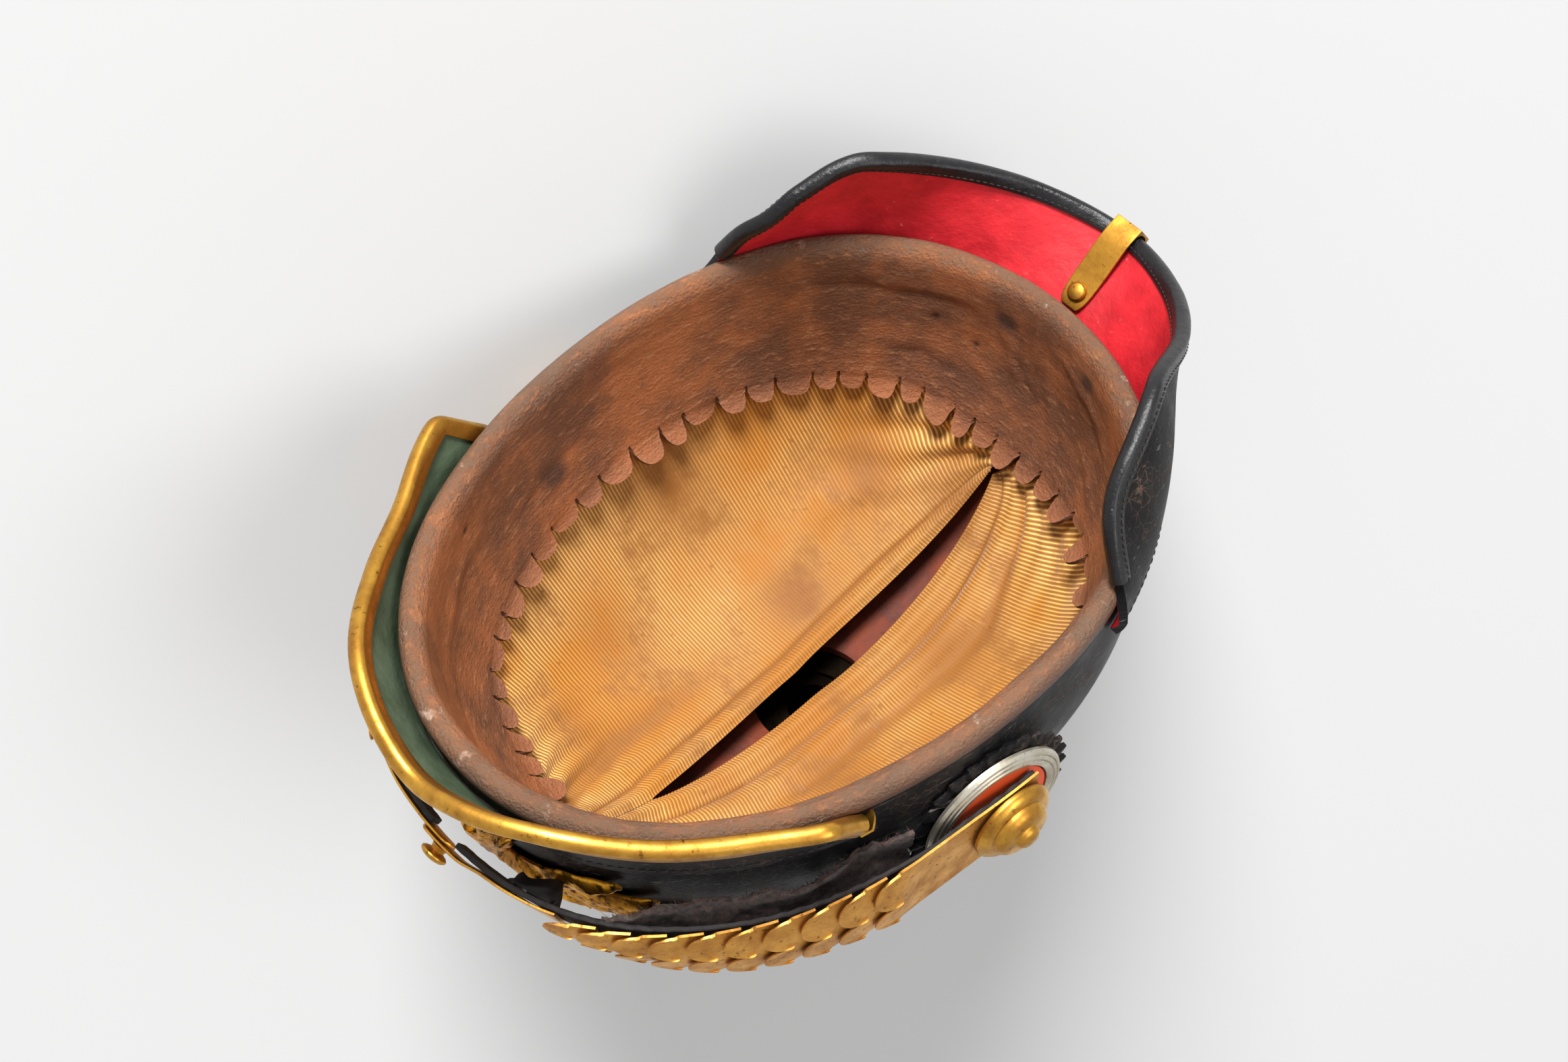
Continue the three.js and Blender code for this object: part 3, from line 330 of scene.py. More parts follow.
def bandSheepskin():  # vegetable tanned sheepskin: matt brown, greyed and polished over the rim
    material, tree, shader, mm, (broad, blotch, grain) = newFinish(
        "bandSheepskin", [(30, 5, 0.6), (8, 8, 0.7), (1.3, 5, 0.75)], **{"Specular IOR Level": 0.35})
    cut = addNode(tree, "ShaderNodeUVMap", uv_map="surface")  # x runs round the band, y up from its edge
    up = addNode(tree, "ShaderNodeSeparateXYZ", {0: cut}).outputs["Y"]
    tongue, burnt = (addNode(tree, "ShaderNodeAttribute", attribute_name=label).outputs["Fac"]
                     for label in ("tongue", "burnt"))
    stretch = addNode(tree, "ShaderNodeMapping", {"Vector": cut, "Scale": (0.16, 0.5, 1)})
    streak = addNode(tree, "ShaderNodeTexNoise", {
        "Vector": stretch, "Scale": 1, "Detail": 7, "Roughness": 0.72})
    pores = addNode(tree, "ShaderNodeTexVoronoi", {"Vector": mm, "Scale": 1 / 0.9})  # hair pores
    ragged = addNode(tree, "ShaderNodeMath", {0: streak, 1: 22, 2: up}, operation="MULTIPLY_ADD")
    fold = addNode(tree, "ShaderNodeMapRange", {"Value": ragged, 1: 14, 2: 23, 3: 0.92, 4: 0},
                   interpolation_type="SMOOTHSTEP")
    scuff = addNode(tree, "ShaderNodeMapRange", {"Value": grain, 1: 0.35, 2: 0.62, 3: 0.6, 4: 1})
    greyed = addNode(tree, "ShaderNodeMath", {0: fold, 1: scuff}, operation="MULTIPLY")
    flake = addNode(tree, "ShaderNodeMapRange", {"Value": blotch, 1: 0.6, 2: 0.68})
    chips = addNode(tree, "ShaderNodeMath", {0: flake, 1: greyed}, operation="MULTIPLY")
    colour = layered(
        tree, "#613820",
        (broad, 0.4, 0.6, 1, "#91532a"),
        (blotch, 0.5, 0.68, 0.42, "#482c1c"),
        (streak, 0.54, 0.66, 0.6, "#a4714c"),
        (greyed, 0, 1, 1, "#65503f"),
        (chips, 0, 1, 1, "#b09380"),
        (up, 4.5, 1, 0.75, "#52301f"),  # the skin's cut edge
        # painted highlight: lighter towards the tongues' curled tips
        (tongue, 0.3, 1, 0.6, "#9c6546"),
        (burnt, 0.25, 0.8, 0.8, "#2e1a12"))
    skin = addNode(tree, "ShaderNodeMath", {0: pores, 1: 0.6, 2: grain}, operation="MULTIPLY_ADD")
    height = addNode(tree, "ShaderNodeMath", {0: streak, 1: 2.2, 2: skin}, operation="MULTIPLY_ADD")
    return finished(material, shader, colour, height, 0.9, 0.7, (greyed, 0, 1, 0.6, 0.4))


def cordedSilk():  # silk rep woven over cords 1.2 mm apart: a satin sheen on the cords, painted shade between them
    material, tree, shader, _, (broad, stains, flecks) = newFinish(
        "cordedSilk", [(38, 4, 0.55), (19, 7, 0.68), (2.6, 3, 0.5)],
        **{"Sheen Weight": 0.25, "Sheen Roughness": 0.4, "Specular IOR Level": 0.3, "Roughness": 0.62})
    weave = addNode(tree, "ShaderNodeUVMap", uv_map="surface")  # x is mm along a cord, y counts the cords
    parts = addNode(tree, "ShaderNodeSeparateXYZ", {0: weave})
    offCrest = parts.outputs["Y"]
    for operation, by in (("FRACT", 0), ("SUBTRACT", 0.5), ("ABSOLUTE", 0)):
        offCrest = addNode(tree, "ShaderNodeMath", {0: offCrest, 1: by}, operation=operation)
    stain = addNode(tree, "ShaderNodeMapRange", {"Value": stains, 1: 0.48, 2: 0.7, 4: 0.85},
                    interpolation_type="SMOOTHSTEP")
    groove = addNode(tree, "ShaderNodeMapRange", {"Value": offCrest, 1: 0.16, 2: 0.46, 4: 0.97},
                     interpolation_type="SMOOTHSTEP")
    colour = layered(tree, "#e59c36", (broad, 0.4, 0.6, 1, "#ffd684"), (stain, 0, 1, 1, "#7d5029"),
                     (flecks, 0.67, 0.74, 0.7, "#6d431f"))
    edge = addNode(tree, "ShaderNodeMath", {0: stains, 1: 1.8}, operation="MULTIPLY")
    # real brown and wine stains, then painted shade in the folds' hollows and along the seam
    for label, tone in (("stain", "#7a4a20"), ("wine", "#6b3c34"), ("hollow", "#8f5d22")):
        spread = addNode(tree, "ShaderNodeAttribute", attribute_name=label)
        share = addNode(tree, "ShaderNodeMath", {0: spread.outputs["Fac"], 1: edge},
                        operation="MULTIPLY", use_clamp=True)
        colour = layered(tree, colour, (share, 0, 1, 1, tone))
    # painted shade in the grooves between the cords
    colour = layered(tree, colour, (groove, 0, 1, 1, "#80501c"))
    threads = addNode(tree, "ShaderNodeTexWave", {"Vector": weave, "Scale": 0.9, "Distortion": 1.5},
                      bands_direction="X")  # the fine silk, drawn 0.4 mm coarse so that it shows
    return finished(material, shader, colour, threads.outputs["Fac"], 0.25, 0.12)


def dyedSkiver(name, pale, deep, spot, rough, spotShare):  # thin split leather, dyed: dull, cockled, rubbed
    material, tree, shader, _, (broad, streak) = newFinish(
        name, [(15, 5, 0.6), (3, 6, 0.75)], **{"Specular IOR Level": 0.35})
    colour = layered(tree, deep, (broad, 0.36, 0.64, 1, pale),
                     (streak, spotShare, spotShare + 0.1, 0.7, spot))
    height = addNode(tree, "ShaderNodeMath", {0: broad, 1: 4, 2: streak}, operation="MULTIPLY_ADD")
    return finished(material, shader, colour, height, 0.5, 0.5, (broad, 0.3, 0.7, rough, rough + 0.18))


def sheetMetal(name, bright, dull, tarnish, rough, spotSize, clean=0.62):  # stamped, plated, spotted
    material, tree, shader, _, (broad, spots) = newFinish(
        name, [(9, 6, 0.65), (spotSize, 4, 0.6)], Metallic=1)
    colour = layered(tree, bright, (broad, 0.38, 0.66, 1, dull), (spots, clean, clean + 0.1, 0.85, tarnish))
    return finished(material, shader, colour, broad, 0.35, 0.5, (broad, 0.3, 0.7, rough, rough + 0.22))


def strapFelt():  # woollen cloth gone to felt, dusty
    material, tree, shader, _, (wool,) = newFinish(
        "strapFelt", [(1.6, 6, 0.8)], **{"Roughness": 0.95, "Sheen Weight": 0.2, "Specular IOR Level": 0.1})
    return finished(material, shader, layered(tree, "#261d1a", (wool, 0.4, 0.75, 1, "#775b50")), wool, 1, 0.9)


black = lacqueredCowhide()
brown = bandSheepskin()
silk = cordedSilk()
felt = strapFelt()
bandEdgeAndShade = dyedSkiver("cutSheepskinEdgeAndShade", "#5c3722", "#41261a", "#2a1710", 0.7, 0.6)  # raw brown cut edge, darkened further as painted shade round the tongues' outlines
inside = dyedSkiver("tannedInside", "#6f2d14", "#47190a", "#2c1006", 0.6, 0.6)  # flesh side: reddish, matt
red = dyedSkiver("redSkiver", "#c01b25", "#a0131d", "#d4857c", 0.5, 0.645)
green = dyedSkiver("greenSkiver", "#46543f", "#36432f", "#5f6a58", 0.55, 0.66)
patent = dyedSkiver("patentBinding", "#141416", "#0e0e10", "#3a3a3c", 0.2, 0.66)  # glossy black
strapHide = dyedSkiver("strapHide", "#1b1412", "#120d0c", "#3f302a", 0.6, 0.64)
thread = dyedSkiver("waxedThread", "#2a221c", "#1c1613", "#4d4138", 0.6, 0.66)
paleThread = dyedSkiver("linenThread", "#8d6a3c", "#6d4c27", "#3c2714", 0.7, 0.66)
orange = dyedSkiver("orangeOilPaint", "#d24c20", "#d24c20", "#3a1c12", 0.45, 0.66)  # even, with small chips
blackPaint = dyedSkiver("blackOilPaint", "#191818", "#191818", "#3b3632", 0.4, 0.66)
gilt = sheetMetal("giltBrass", "#cf9c40", "#99692a", "#543612", 0.27, 2.2)
dullGilt = sheetMetal("stampedGilt", "#b98634", "#7f5822", "#422a10", 0.36, 1.4)
wornGilt = sheetMetal("wornGilt", "#d8a04c", "#a87436", "#5e3c14", 0.38, 1.8, 0.6)
birdGilt = sheetMetal("tarnishedGilt", "#dd9c2e", "#8f5d22", "#2c1a0a", 0.3, 2.6, 0.53)
insideShade = sheetMetal("unpolishedBrassPaintedShade", "#1d1610", "#0f0b08", "#070504", 0.75, 2)  # nearly black: painted shade inside the spike and round the vent
silvered = sheetMetal("silveredBrass", "#d8d2c2", "#a89f8c", "#5a5244", 0.28, 1.2)
print("finishes made")

# repeats: stitches along a seam, cords in cloth, pleats, fibres


def newTree(name, **givenKinds):
    tree = bpy.data.node_groups.new(name, "GeometryNodeTree")
    for label, kind in {"Geometry": "Geometry", **givenKinds, "Finish": "Material"}.items():
        tree.interface.new_socket(label, in_out="INPUT", socket_type="NodeSocket" + kind)
    tree.interface.new_socket("Geometry", in_out="OUTPUT", socket_type="NodeSocketGeometry")
    return tree, addNode(tree, "NodeGroupInput").outputs


def endTree(tree, shape, given):
    real = addNode(tree, "GeometryNodeRealizeInstances", {"Geometry": shape})
    coated = addNode(tree, "GeometryNodeSetMaterial", {"Geometry": real, "Material": given["Finish"]})
    addNode(tree, "NodeGroupOutput", {"Geometry": coated})
    return tree


def stitchTree():
    tree, given = newTree("stitchesAlongPath", Pitch="Float", Length="Float", Width="Float")
    path = addNode(tree, "GeometryNodeMeshToCurve", {"Mesh": given["Geometry"]})
    spaced = addNode(tree, "GeometryNodeResampleCurve", {"Curve": path, "Length": given["Pitch"]},
                     mode="LENGTH")
    tangent = addNode(tree, "GeometryNodeInputTangent")
    turned = addNode(tree, "FunctionNodeAlignRotationToVector", {"Vector": tangent}, axis="X")
    grain = addNode(tree, "GeometryNodeMeshIcoSphere", {"Radius": 0.5, "Subdivisions": 2})
    size = addNode(tree, "ShaderNodeCombineXYZ", {0: given["Length"], 1: given["Width"], 2: given["Width"]})
    wobble = addNode(tree, "FunctionNodeRandomValue", {
        "Min": (0.8, 0.85, 0.85), "Max": (1.1, 1.1, 1.1), "Seed": 3}, data_type="FLOAT_VECTOR")
    sized = addNode(tree, "ShaderNodeVectorMath", {0: size, 1: wobble}, operation="MULTIPLY")
    copies = addNode(tree, "GeometryNodeInstanceOnPoints", {
        "Points": spaced, "Instance": grain, "Rotation": turned,
        "Scale": sized})
    return endTree(tree, copies, given)


def ribTree():
    tree, given = newTree("cordsInCloth", Height="Float")
    lift = addNode(tree, "GeometryNodeInputNamedAttribute", {"Name": "cord"})
    for operation, by in (("MULTIPLY", math.pi), ("SINE", 0), ("ABSOLUTE", 0), ("POWER", 0.7),
                          ("MULTIPLY", given["Height"])):
        lift = addNode(tree, "ShaderNodeMath", {0: lift, 1: by}, operation=operation)
    normal = addNode(tree, "GeometryNodeInputNormal")
    offset = addNode(tree, "ShaderNodeVectorMath", {0: normal, "Scale": lift},
                     operation="SCALE")
    raised = addNode(tree, "GeometryNodeSetPosition", {"Geometry": given["Geometry"], "Offset": offset})
    return endTree(tree, raised, given)


def pleatTree():
    tree, given = newTree("pleatsRoundDisc", Teeth="Int")
    spots = addNode(tree, "GeometryNodePoints", {"Count": given["Teeth"]})
    index = addNode(tree, "GeometryNodeInputIndex")
    part = addNode(tree, "ShaderNodeMath", {0: index, 1: given["Teeth"]}, operation="DIVIDE")
    turn = addNode(tree, "ShaderNodeMath", {0: part, 1: 2 * math.pi}, operation="MULTIPLY")
    rotation = addNode(tree, "ShaderNodeCombineXYZ", {2: turn})
    copies = addNode(tree, "GeometryNodeInstanceOnPoints", {
        "Points": spots, "Instance": given["Geometry"], "Rotation": rotation})
    return endTree(tree, copies, given)


def fibreTree():
    tree, given = newTree("looseFibres", Density="Float", Length="Float", Width="Float")
    spread = addNode(tree, "GeometryNodeDistributePointsOnFaces", {
        "Mesh": given["Geometry"], "Density": given["Density"], "Seed": 5})
    strand = addNode(tree, "GeometryNodeMeshCone", {
        "Vertices": 3, "Side Segments": 2, "Radius Top": 0, "Radius Bottom": given["Width"],
        "Depth": given["Length"]})
    turn = addNode(tree, "FunctionNodeRandomValue", {
        "Min": (-1.2, -1.2, 0), "Max": (1.2, 1.2, 6.2), "Seed": 2}, data_type="FLOAT_VECTOR")
    leant = addNode(tree, "FunctionNodeRotateRotation", {
        "Rotation": spread.outputs["Rotation"], "Rotate By": turn}, rotation_space="LOCAL")
    size = addNode(tree, "FunctionNodeRandomValue", {2: 0.5, 3: 1.4, "Seed": 9}, data_type="FLOAT")
    copies = addNode(tree, "GeometryNodeInstanceOnPoints", {
        "Points": spread.outputs["Points"], "Instance": strand.outputs["Mesh"], "Rotation": leant,
        "Scale": size.outputs[1]})
    return endTree(tree, copies, given)


def runTree(obj, tree, **values):
    modifier = obj.modifiers.new("grow", "NODES")
    modifier.node_group = tree
    for item in tree.interface.items_tree:
        if item.item_type == "SOCKET" and item.in_out == "INPUT" and item.name in values:
            modifier[item.identifier] = values[item.name]
    return settle(obj, 60)


stitchRow, ribs, pleats, fibres = stitchTree(), ribTree(), pleatTree(), fibreTree()


def stitches(name, paths, pitch, length, width, finish, slot):
    loose, start = [], 0
    for path in paths:
        loose += [(start + k, start + k + 1) for k in range(len(path) - 1)]
        start += len(path)
    obj = newObject(name, np.concatenate(paths), [], loose=loose)
    runTree(obj, stitchRow, Pitch=pitch / 1000, Length=length / 1000, Width=width / 1000, Finish=finish)
    return ridesFor(obj, slot)


# shell

shellLook = {"stations": 180, "rows": 44, "climb": 83, "ventRadius": 17.5, "ventBlend": 0.42}


def makeShell():
    rows = shellLook["rows"]
    lowest = math.asin((skull["edgeZ"] / skull["height"]) ** (skull["roundness"] / 2))
    climb = np.linspace(lowest, math.radians(shellLook["climb"]), rows)
    rho = np.cos(climb) ** (2 / skull["roundness"])
    near = smoothStep(rho, shellLook["ventBlend"], rho[-1])[:, None]  # draws the rows in to a round vent
    sections = []
    for angle in np.linspace(0, 360, shellLook["stations"], endpoint=False):
        turn = math.radians(angle)
        vent = shellLook["ventRadius"] * np.array([math.cos(turn), math.sin(turn)]) - [0, plan["crownBack"]]
        walls = []
        for inset in (0, skull["wall"]):
            wall = atRho(skull, angle, rho, inset)
            wall[0, 2] = skull["edgeZ"]
            wall[:, :2] = wall[:, :2] * (1 - near) + vent * near
            walls.append(wall)
        sections.append(np.concatenate([walls[0], walls[1][::-1]]))
    picks = [0] * (rows - 1) + [1] * (rows + 1)
    obj = loftObject("shellLeather", sections, [black, inside], joined=True, picks=picks)
    return ridesFor(obj, "black_leather", "shell")


makeShell()
print("shell made")

# sweatband

band = {
    "tongues": 54, "perTongue": 12, "uneven": 0.14, "notch": 6.9, "square": 3, "drawnIn": 0.08, "seam": 272,
    "thick": 1.3, "clear": 4.3, "tipRest": 3.4, "wallRows": 34, "tongueRows": 8, "swell": 0.75,
    "fineSwell": 0.22, "uvRadius": 90, "perDegree": 1.5,
    "length": (0.82, 1.08), "curl": (1.2, 4.8), "tilt": (-1.4, 1.4),
    "torn": {"first": 43, "length": [1.1, 0.45, 1.15, 0.5], "curl": [3.2, 0.5, 3.6, 2]},
    "heights": {"angle": [-180, -120, -90, -60, 0, 45, 90, 135, 180],
                "height": [44, 51, 57, 51, 44, 46, 60, 48, 44]},
    "fold": {"angle": range(9), "inset": [0.9, 0.75, 1.3, 2.6, 4.2, 5.2, 5.6, 5.9, 6.1],
             "z": [0.9, -0.9, -2.6, -3.4, -2.8, -1.1, 1.8, 5, 8]},
    "creases": {  # from one place on the wall to another, by angle and height
        "fromAngle": [-90, -99, -97, -84, -80, -106, -142, -74, -60, 98, 118, 150, -125, -87],
        "fromZ": [1, 12, 20, 7, 14, 30, 11, 30, 22, 34, 20, 28, 34, 20],
        "toAngle": [-89, -93, -87, -70, -64, -94, -103, -60, -48, 124, 150, 176, -104, -80],
        "toZ": [55, 30, 35, 15, 24, 42, 13, 40, 33, 28, 15, 22, 40, 44],
        "width": [0.8, 1.4, 1.2, 1.5, 1.3, 1.6, 2.4, 1.8, 1.6, 2.6, 2.8, 2.4, 2.2, 1.4],
        "rise": [0.8, 0.8, -0.7, 0.8, -0.7, 0.6, -0.9, 0.7, -0.6, -0.7, 0.6, -0.6, -0.6, 0.7],
    },
    "marks": {  # small dark nicks and burnt spots
        "angle": [145, -113, -104, -98, 60, 166, -30, 100, -76],
        "z": [9, 20, 26, 10, 14, 26, 20, 22, 6],
        "radius": [1.5, 1.5, 1.5, 4.5, 3, 5, 5, 2.2, 3.5],
        "depth": [0.9, 0.7, 0.7, 0, 0, 0, 0, 0.4, 0],
    },
}


def bandTop(angle):
    return tableAt(band["heights"], "height", (np.asarray(angle) + 180) % 360 - 180)


def degreesFrom(angle, start):
    return (angle - start + 180) % 360 - 180


def creaseLift(angle, z):
    perDegree = band["perDegree"]
    lift = np.zeros_like(angle)
    for angle0, z0, angle1, z1, width, rise in rowsOf(band["creases"]):
        x, y = degreesFrom(angle, angle0) * perDegree, z - z0
        dx, dy = (angle1 - angle0) * perDegree, z1 - z0
        t = np.clip((x * dx + y * dy) / (dx * dx + dy * dy), 0, 1)
        offMiddle = abs(2 * t - 1)
        bend = 1.2 * np.sin(t * 9 + angle0) * (1 - offMiddle)
        away = np.hypot(x - dx * t, y - dy * t - bend)
        lift += rise * np.exp(-(away / width) ** 2) * (1 - offMiddle ** 3)
    return lift


def markShade(angle, z):
    shade, pit = np.zeros_like(angle), np.zeros_like(angle)
    for angle0, z0, radius, depth in rowsOf(band["marks"]):
        away = np.hypot(degreesFrom(angle, angle0) * band["perDegree"], z - z0)
        spot = np.exp(-(away / radius) ** 2)
        shade = np.maximum(shade, spot)
        pit += depth * spot
    return shade, pit


def bandWall(angle, z, t):  # from the rim's inner side over to the lining's dome
    t = np.asarray(t)[..., None]
    rim = atHeight(skull, angle, z, band["fold"]["inset"][-1])
    return rim * (1 - t) + atHeight(linerDome, angle, z, band["clear"]) * t


def makeSweatband():
    rng = np.random.default_rng(11)
    count, notch, square, clear = (band[key] for key in ("tongues", "notch", "square", "clear"))
    uneven = rng.uniform(-band["uneven"], band["uneven"], count)
    edges = (np.arange(count) + uneven) * 360 / count
    edges = np.append(edges, edges[0] + 360)
    length, curl, tilt = (rng.uniform(*band[key], count) for key in ("length", "curl", "tilt"))
    torn = band["torn"]
    rows = slice(torn["first"], torn["first"] + len(torn["length"]))
    length[rows], curl[rows] = torn["length"], torn["curl"]
    along = np.linspace(0, 8, 20)
    foldInset, foldZ = (tableAt(band["fold"], key, along) for key in ("inset", "z"))
    t = np.linspace(0, 1, band["wallRows"] + 1)[1:]
    s = np.linspace(0, 1, band["tongueRows"] + 1)[1:]
    columns, uvColumns, angles, tipHighlight = [], [], [], []
    for k in range(count):
        for f in -np.cos(np.pi * np.arange(band["perTongue"]) / band["perTongue"]):
            angle = edges[k] + (edges[k + 1] - edges[k]) * (f + 1) / 2
            base = bandTop(angle) - notch
            fold = atHeight(skull, angle, foldZ, foldInset)
            wall = bandWall(angle, foldZ[-1] + (base - foldZ[-1]) * t, t)
            lobe = (1 - abs(f) ** square) ** (1 / square) * notch * length[k]
            reach = s * lobe / notch
            rest = clear + (band["tipRest"] - clear) * reach + curl[k] * reach ** 2 + tilt[k] * f * reach
            centre = (edges[k] + edges[k + 1]) / 2
            drawn = centre + (angle - centre) * (1 - band["drawnIn"] * smoothStep(s, 0, 0.5))
            tongue = atHeight(linerDome, drawn, base + s * lobe, rest)
            column = np.concatenate([fold, wall, tongue])
            columns.append(column)
            run = np.concatenate([[0], np.cumsum(np.linalg.norm(np.diff(column, axis=0), axis=1))])
            uvColumns.append(np.stack([0 * run + math.radians(angle) * band["uvRadius"], run], 1))
            angles.append(np.full(len(column), angle))
            # share of the painted highlight: none on the fold and wall, rising towards each tongue's tip
            tipHighlight.append(np.concatenate([0 * foldZ, 0 * t, 0.25 + 0.75 * s * (lobe > 0.1)]))
    for made in (columns, uvColumns, angles, tipHighlight):
        made.append(made[0])
    grid, uv, angles, tipHighlight = map(np.array, (columns, uvColumns, angles, tipHighlight))
    uv[-1] = uv[-1] + [2 * math.pi * band["uvRadius"], 0]
    shade, pit = markShade(angles, grid[..., 2])
    swell = ripple(grid, 26, 1) * band["swell"] + ripple(grid, 7, 2) * band["fineSwell"]
    swell += creaseLift(angles, grid[..., 2]) - pit
    swell *= smoothStep(uv[..., 1], 1, 9) * 0.8 + 0.2
    swell[-1] = swell[0]
    middle = np.array([0, 0, 20])
    grid += unit(middle - grid * [1, 1, 0]) * swell[..., None]
    obj = gridObject("sweatbandLeather", grid, uv, flip=True)
    markPoints(obj, tongue=tipHighlight, burnt=shade)
    weld(obj)
    obj.data.materials.append(brown)
    obj.data.materials.append(bandEdgeAndShade)
    # the rim faces take the dark edge finish: the cut edge, with painted shade
    thicken(obj, band["thick"]).material_offset_rim = 1
    settle(obj, 50)
    ridesFor(obj, "brown_leather", "sweatband")
    nearest = int(np.argmin(abs(angles[:, 0] - band["seam"])))
    wallRows = slice(len(foldZ) + 1, len(foldZ) + band["wallRows"])
    beside = [grid[nearest + side, wallRows] for side in (-2, 2)]
    return [line + unit(middle - line * [1, 1, 0]) * 0.25 for line in beside]


seamRows = makeSweatband()
stitches("bandSeamStitches", seamRows, 2.4, 1.7, 0.5, thread, "brown_leather")
print("sweatband made")

# lining

lining = {
    "pitch": 1.2, "perRib": 5, "columns": 44, "rear": -0.83, "front": 0.6, "width": 10.4, "closed": 0.5,
    "shift": 0.012, "lean": 0.06, "tuck": 6, "turn": 86, "spread": 0.9, "thick": 0.6, "inset": 1.2,
    "ribHeight": 0.34, "sag": 2.4, "pucker": 0.8, "fullFrom": 60, "seam": {"right": 8.8, "left": 6.6},
    "folds": {  # ridges and hollows that run beside the slit, by their distance from it
        "right": {"offset": [3.6, 8.8, 14.5, 21, 30], "width": [2.6, 0.8, 3.6, 3.2, 4.5],
                  "rise": [2.2, -1.3, 1.9, -1.2, 1]},
        "left": {"offset": [2.8, 6.6, 11.5, 18, 28], "width": [2, 0.8, 3, 4.2, 5.5],
                 "rise": [1.9, -1, 0.9, -1.7, 0.9]},
    },
    "stains": {  # places across and along the lining, as shares of its half width and length
        "x": [-0.87, -0.42, -0.27, 0.30, 0.45, -0.55, 0.2, -0.1, -0.35, 0.62],
        "y": [-0.08, -0.60, -0.17, -0.35, 0.15, 0.35, 0.45, -0.72, 0.62, -0.1],
        "radius": [0.2, 0.14, 0.12, 0.15, 0.16, 0.16, 0.1, 0.14, 0.14, 0.12],
        "brown": [0.9, 0.9, 0.3, 0.75, 0.6, 0.5, 0.6, 0.9, 0.5, 0.7],
        "wine": [0, 0, 0.95, 0.2, 0, 0, 0, 0, 0, 0],
    },
}


def stainsAt(x, y):
    brownShare, wineShare = np.zeros_like(x), np.zeros_like(x)
    for x0, y0, radius, brownDeep, wineDeep in rowsOf(lining["stains"]):
        spot = np.exp(-(np.hypot(x - x0, (y - y0) * 1.3) / radius) ** 2)
        brownShare = np.maximum(brownShare, spot * brownDeep)
        wineShare = np.maximum(wineShare, spot * wineDeep)
    return brownShare, wineShare


def makeLining(side, sign):
    size = np.array([linerDome["halfWidth"], linerDome["halfLength"]])
    roundness = linerDome["roundness"]
    rows = int(2 * size[1] * 0.97 / lining["pitch"] * lining["perRib"])
    limit = math.sin(math.radians(lining["turn"]))
    near = np.concatenate([np.linspace(0, 10, 15), np.linspace(11.2, 34, 15)])  # columns beside the slit
    rest = np.linspace(0, 1, lining["columns"] - len(near) + 1)[1:]
    grid, uv, plain = [], [], []
    for i, share in enumerate(np.linspace(-limit, limit, rows)):
        turn = math.degrees(math.asin(share))
        angle = turn if sign > 0 else 180 - turn
        top = float(bandTop(angle)) - lining["tuck"]
        rho = (1 - (top / linerDome["height"]) ** roundness) ** (1 / roundness)
        outer = np.array([math.cos(math.radians(angle)), math.sin(math.radians(angle))]) * rho
        y = lining["spread"] * rho * share / limit
        t = min(max((y - lining["rear"]) / (lining["front"] - lining["rear"]), 0), 1)
        half = (lining["closed"] + (lining["width"] - lining["closed"]) * math.sin(math.pi * t) ** 0.7) / 2
        inner = np.array([lining["shift"] + lining["lean"] * y + sign * half / size[0], y])
        reach = np.linalg.norm((outer - inner) * size)
        scale = min(1, reach / lining["fullFrom"])  # the folds shrink where a row is short
        end = near[-1] * scale / reach
        s = np.concatenate([near * scale / reach, end * (1 - rest) + rest])
        grid.append(inner + (outer - inner) * s[:, None])
        plain.append(np.stack([s, s * reach / scale, np.full(len(s), scale), np.full(len(s), y)], 1))
        uv.append(np.stack([s * reach, np.full(len(s), i / lining["perRib"])], 1))
    q, uv = np.array(grid), np.array(uv)
    s, distance, scale, y = np.moveaxis(np.array(plain), -1, 0)
    angles, rho = np.degrees(np.arctan2(q[..., 1], q[..., 0])), np.hypot(q[..., 0], q[..., 1])
    flat = atRho(linerDome, angles, rho, lining["inset"])
    fade = np.sin(np.pi * np.clip(s, 0, 1))
    wander = 1.5 * ripple(flat, 40, 12 if sign > 0 else 13) * smoothStep(distance, 6, 14)
    rise = np.zeros_like(s)
    for offset, width, height in rowsOf(lining["folds"][side]):
        strength = 1 if offset < 10 else 0.75 + 0.9 * np.sin(y * 2.6 + offset)
        rise += height * strength * np.exp(-((distance - offset + wander) / width) ** 2)
    puckers = np.sin(distance * 0.55 + angles * 0.25) * smoothStep(abs(y), 0.4, 0.75)
    loose = (lining["sag"] * ripple(flat, 36, 5) + lining["pucker"] * puckers) * fade
    inset = lining["inset"] + rise * scale * (1 - smoothStep(s, 0.75, 1)) + loose
    points = atRho(linerDome, angles, rho, np.maximum(inset, 0.2))
    points[..., 1] += (0.9 * np.sin(s * 5) + 1.6 * ripple(flat, 45, 4)) * fade * scale
    obj = gridObject("lining" + side.capitalize(), points, uv, flip=sign < 0)
    brownShare, wineShare = stainsAt(q[..., 0], q[..., 1])
    seamAt = lining["seam"][side]
    # painted shade: darker in the folds' hollows and along the stitched seam's groove
    hollow = np.clip(-rise, 0, 1.5) / 1.5 + 0.9 * np.exp(-((distance - seamAt) / 0.9) ** 2)
    markPoints(obj, cord=uv[..., 1], stain=brownShare, wine=wineShare, hollow=hollow)
    runTree(obj, ribs, Height=lining["ribHeight"] / 1000, Finish=silk)
    thicken(obj, lining["thick"])
    settle(obj, 70)
    ridesFor(obj, "ribbed_silk", "lining_" + side)
    return obj, points[10:-10, int(np.argmin(abs(near - seamAt)))]


liningRight, seamRight = makeLining("right", 1)
liningLeft, seamLeft = makeLining("left", -1)
stitches("hemStitches", [seamRight, seamLeft], 3, 2.1, 0.55, paleThread, "ribbed_silk")
print("lining made")

# visors

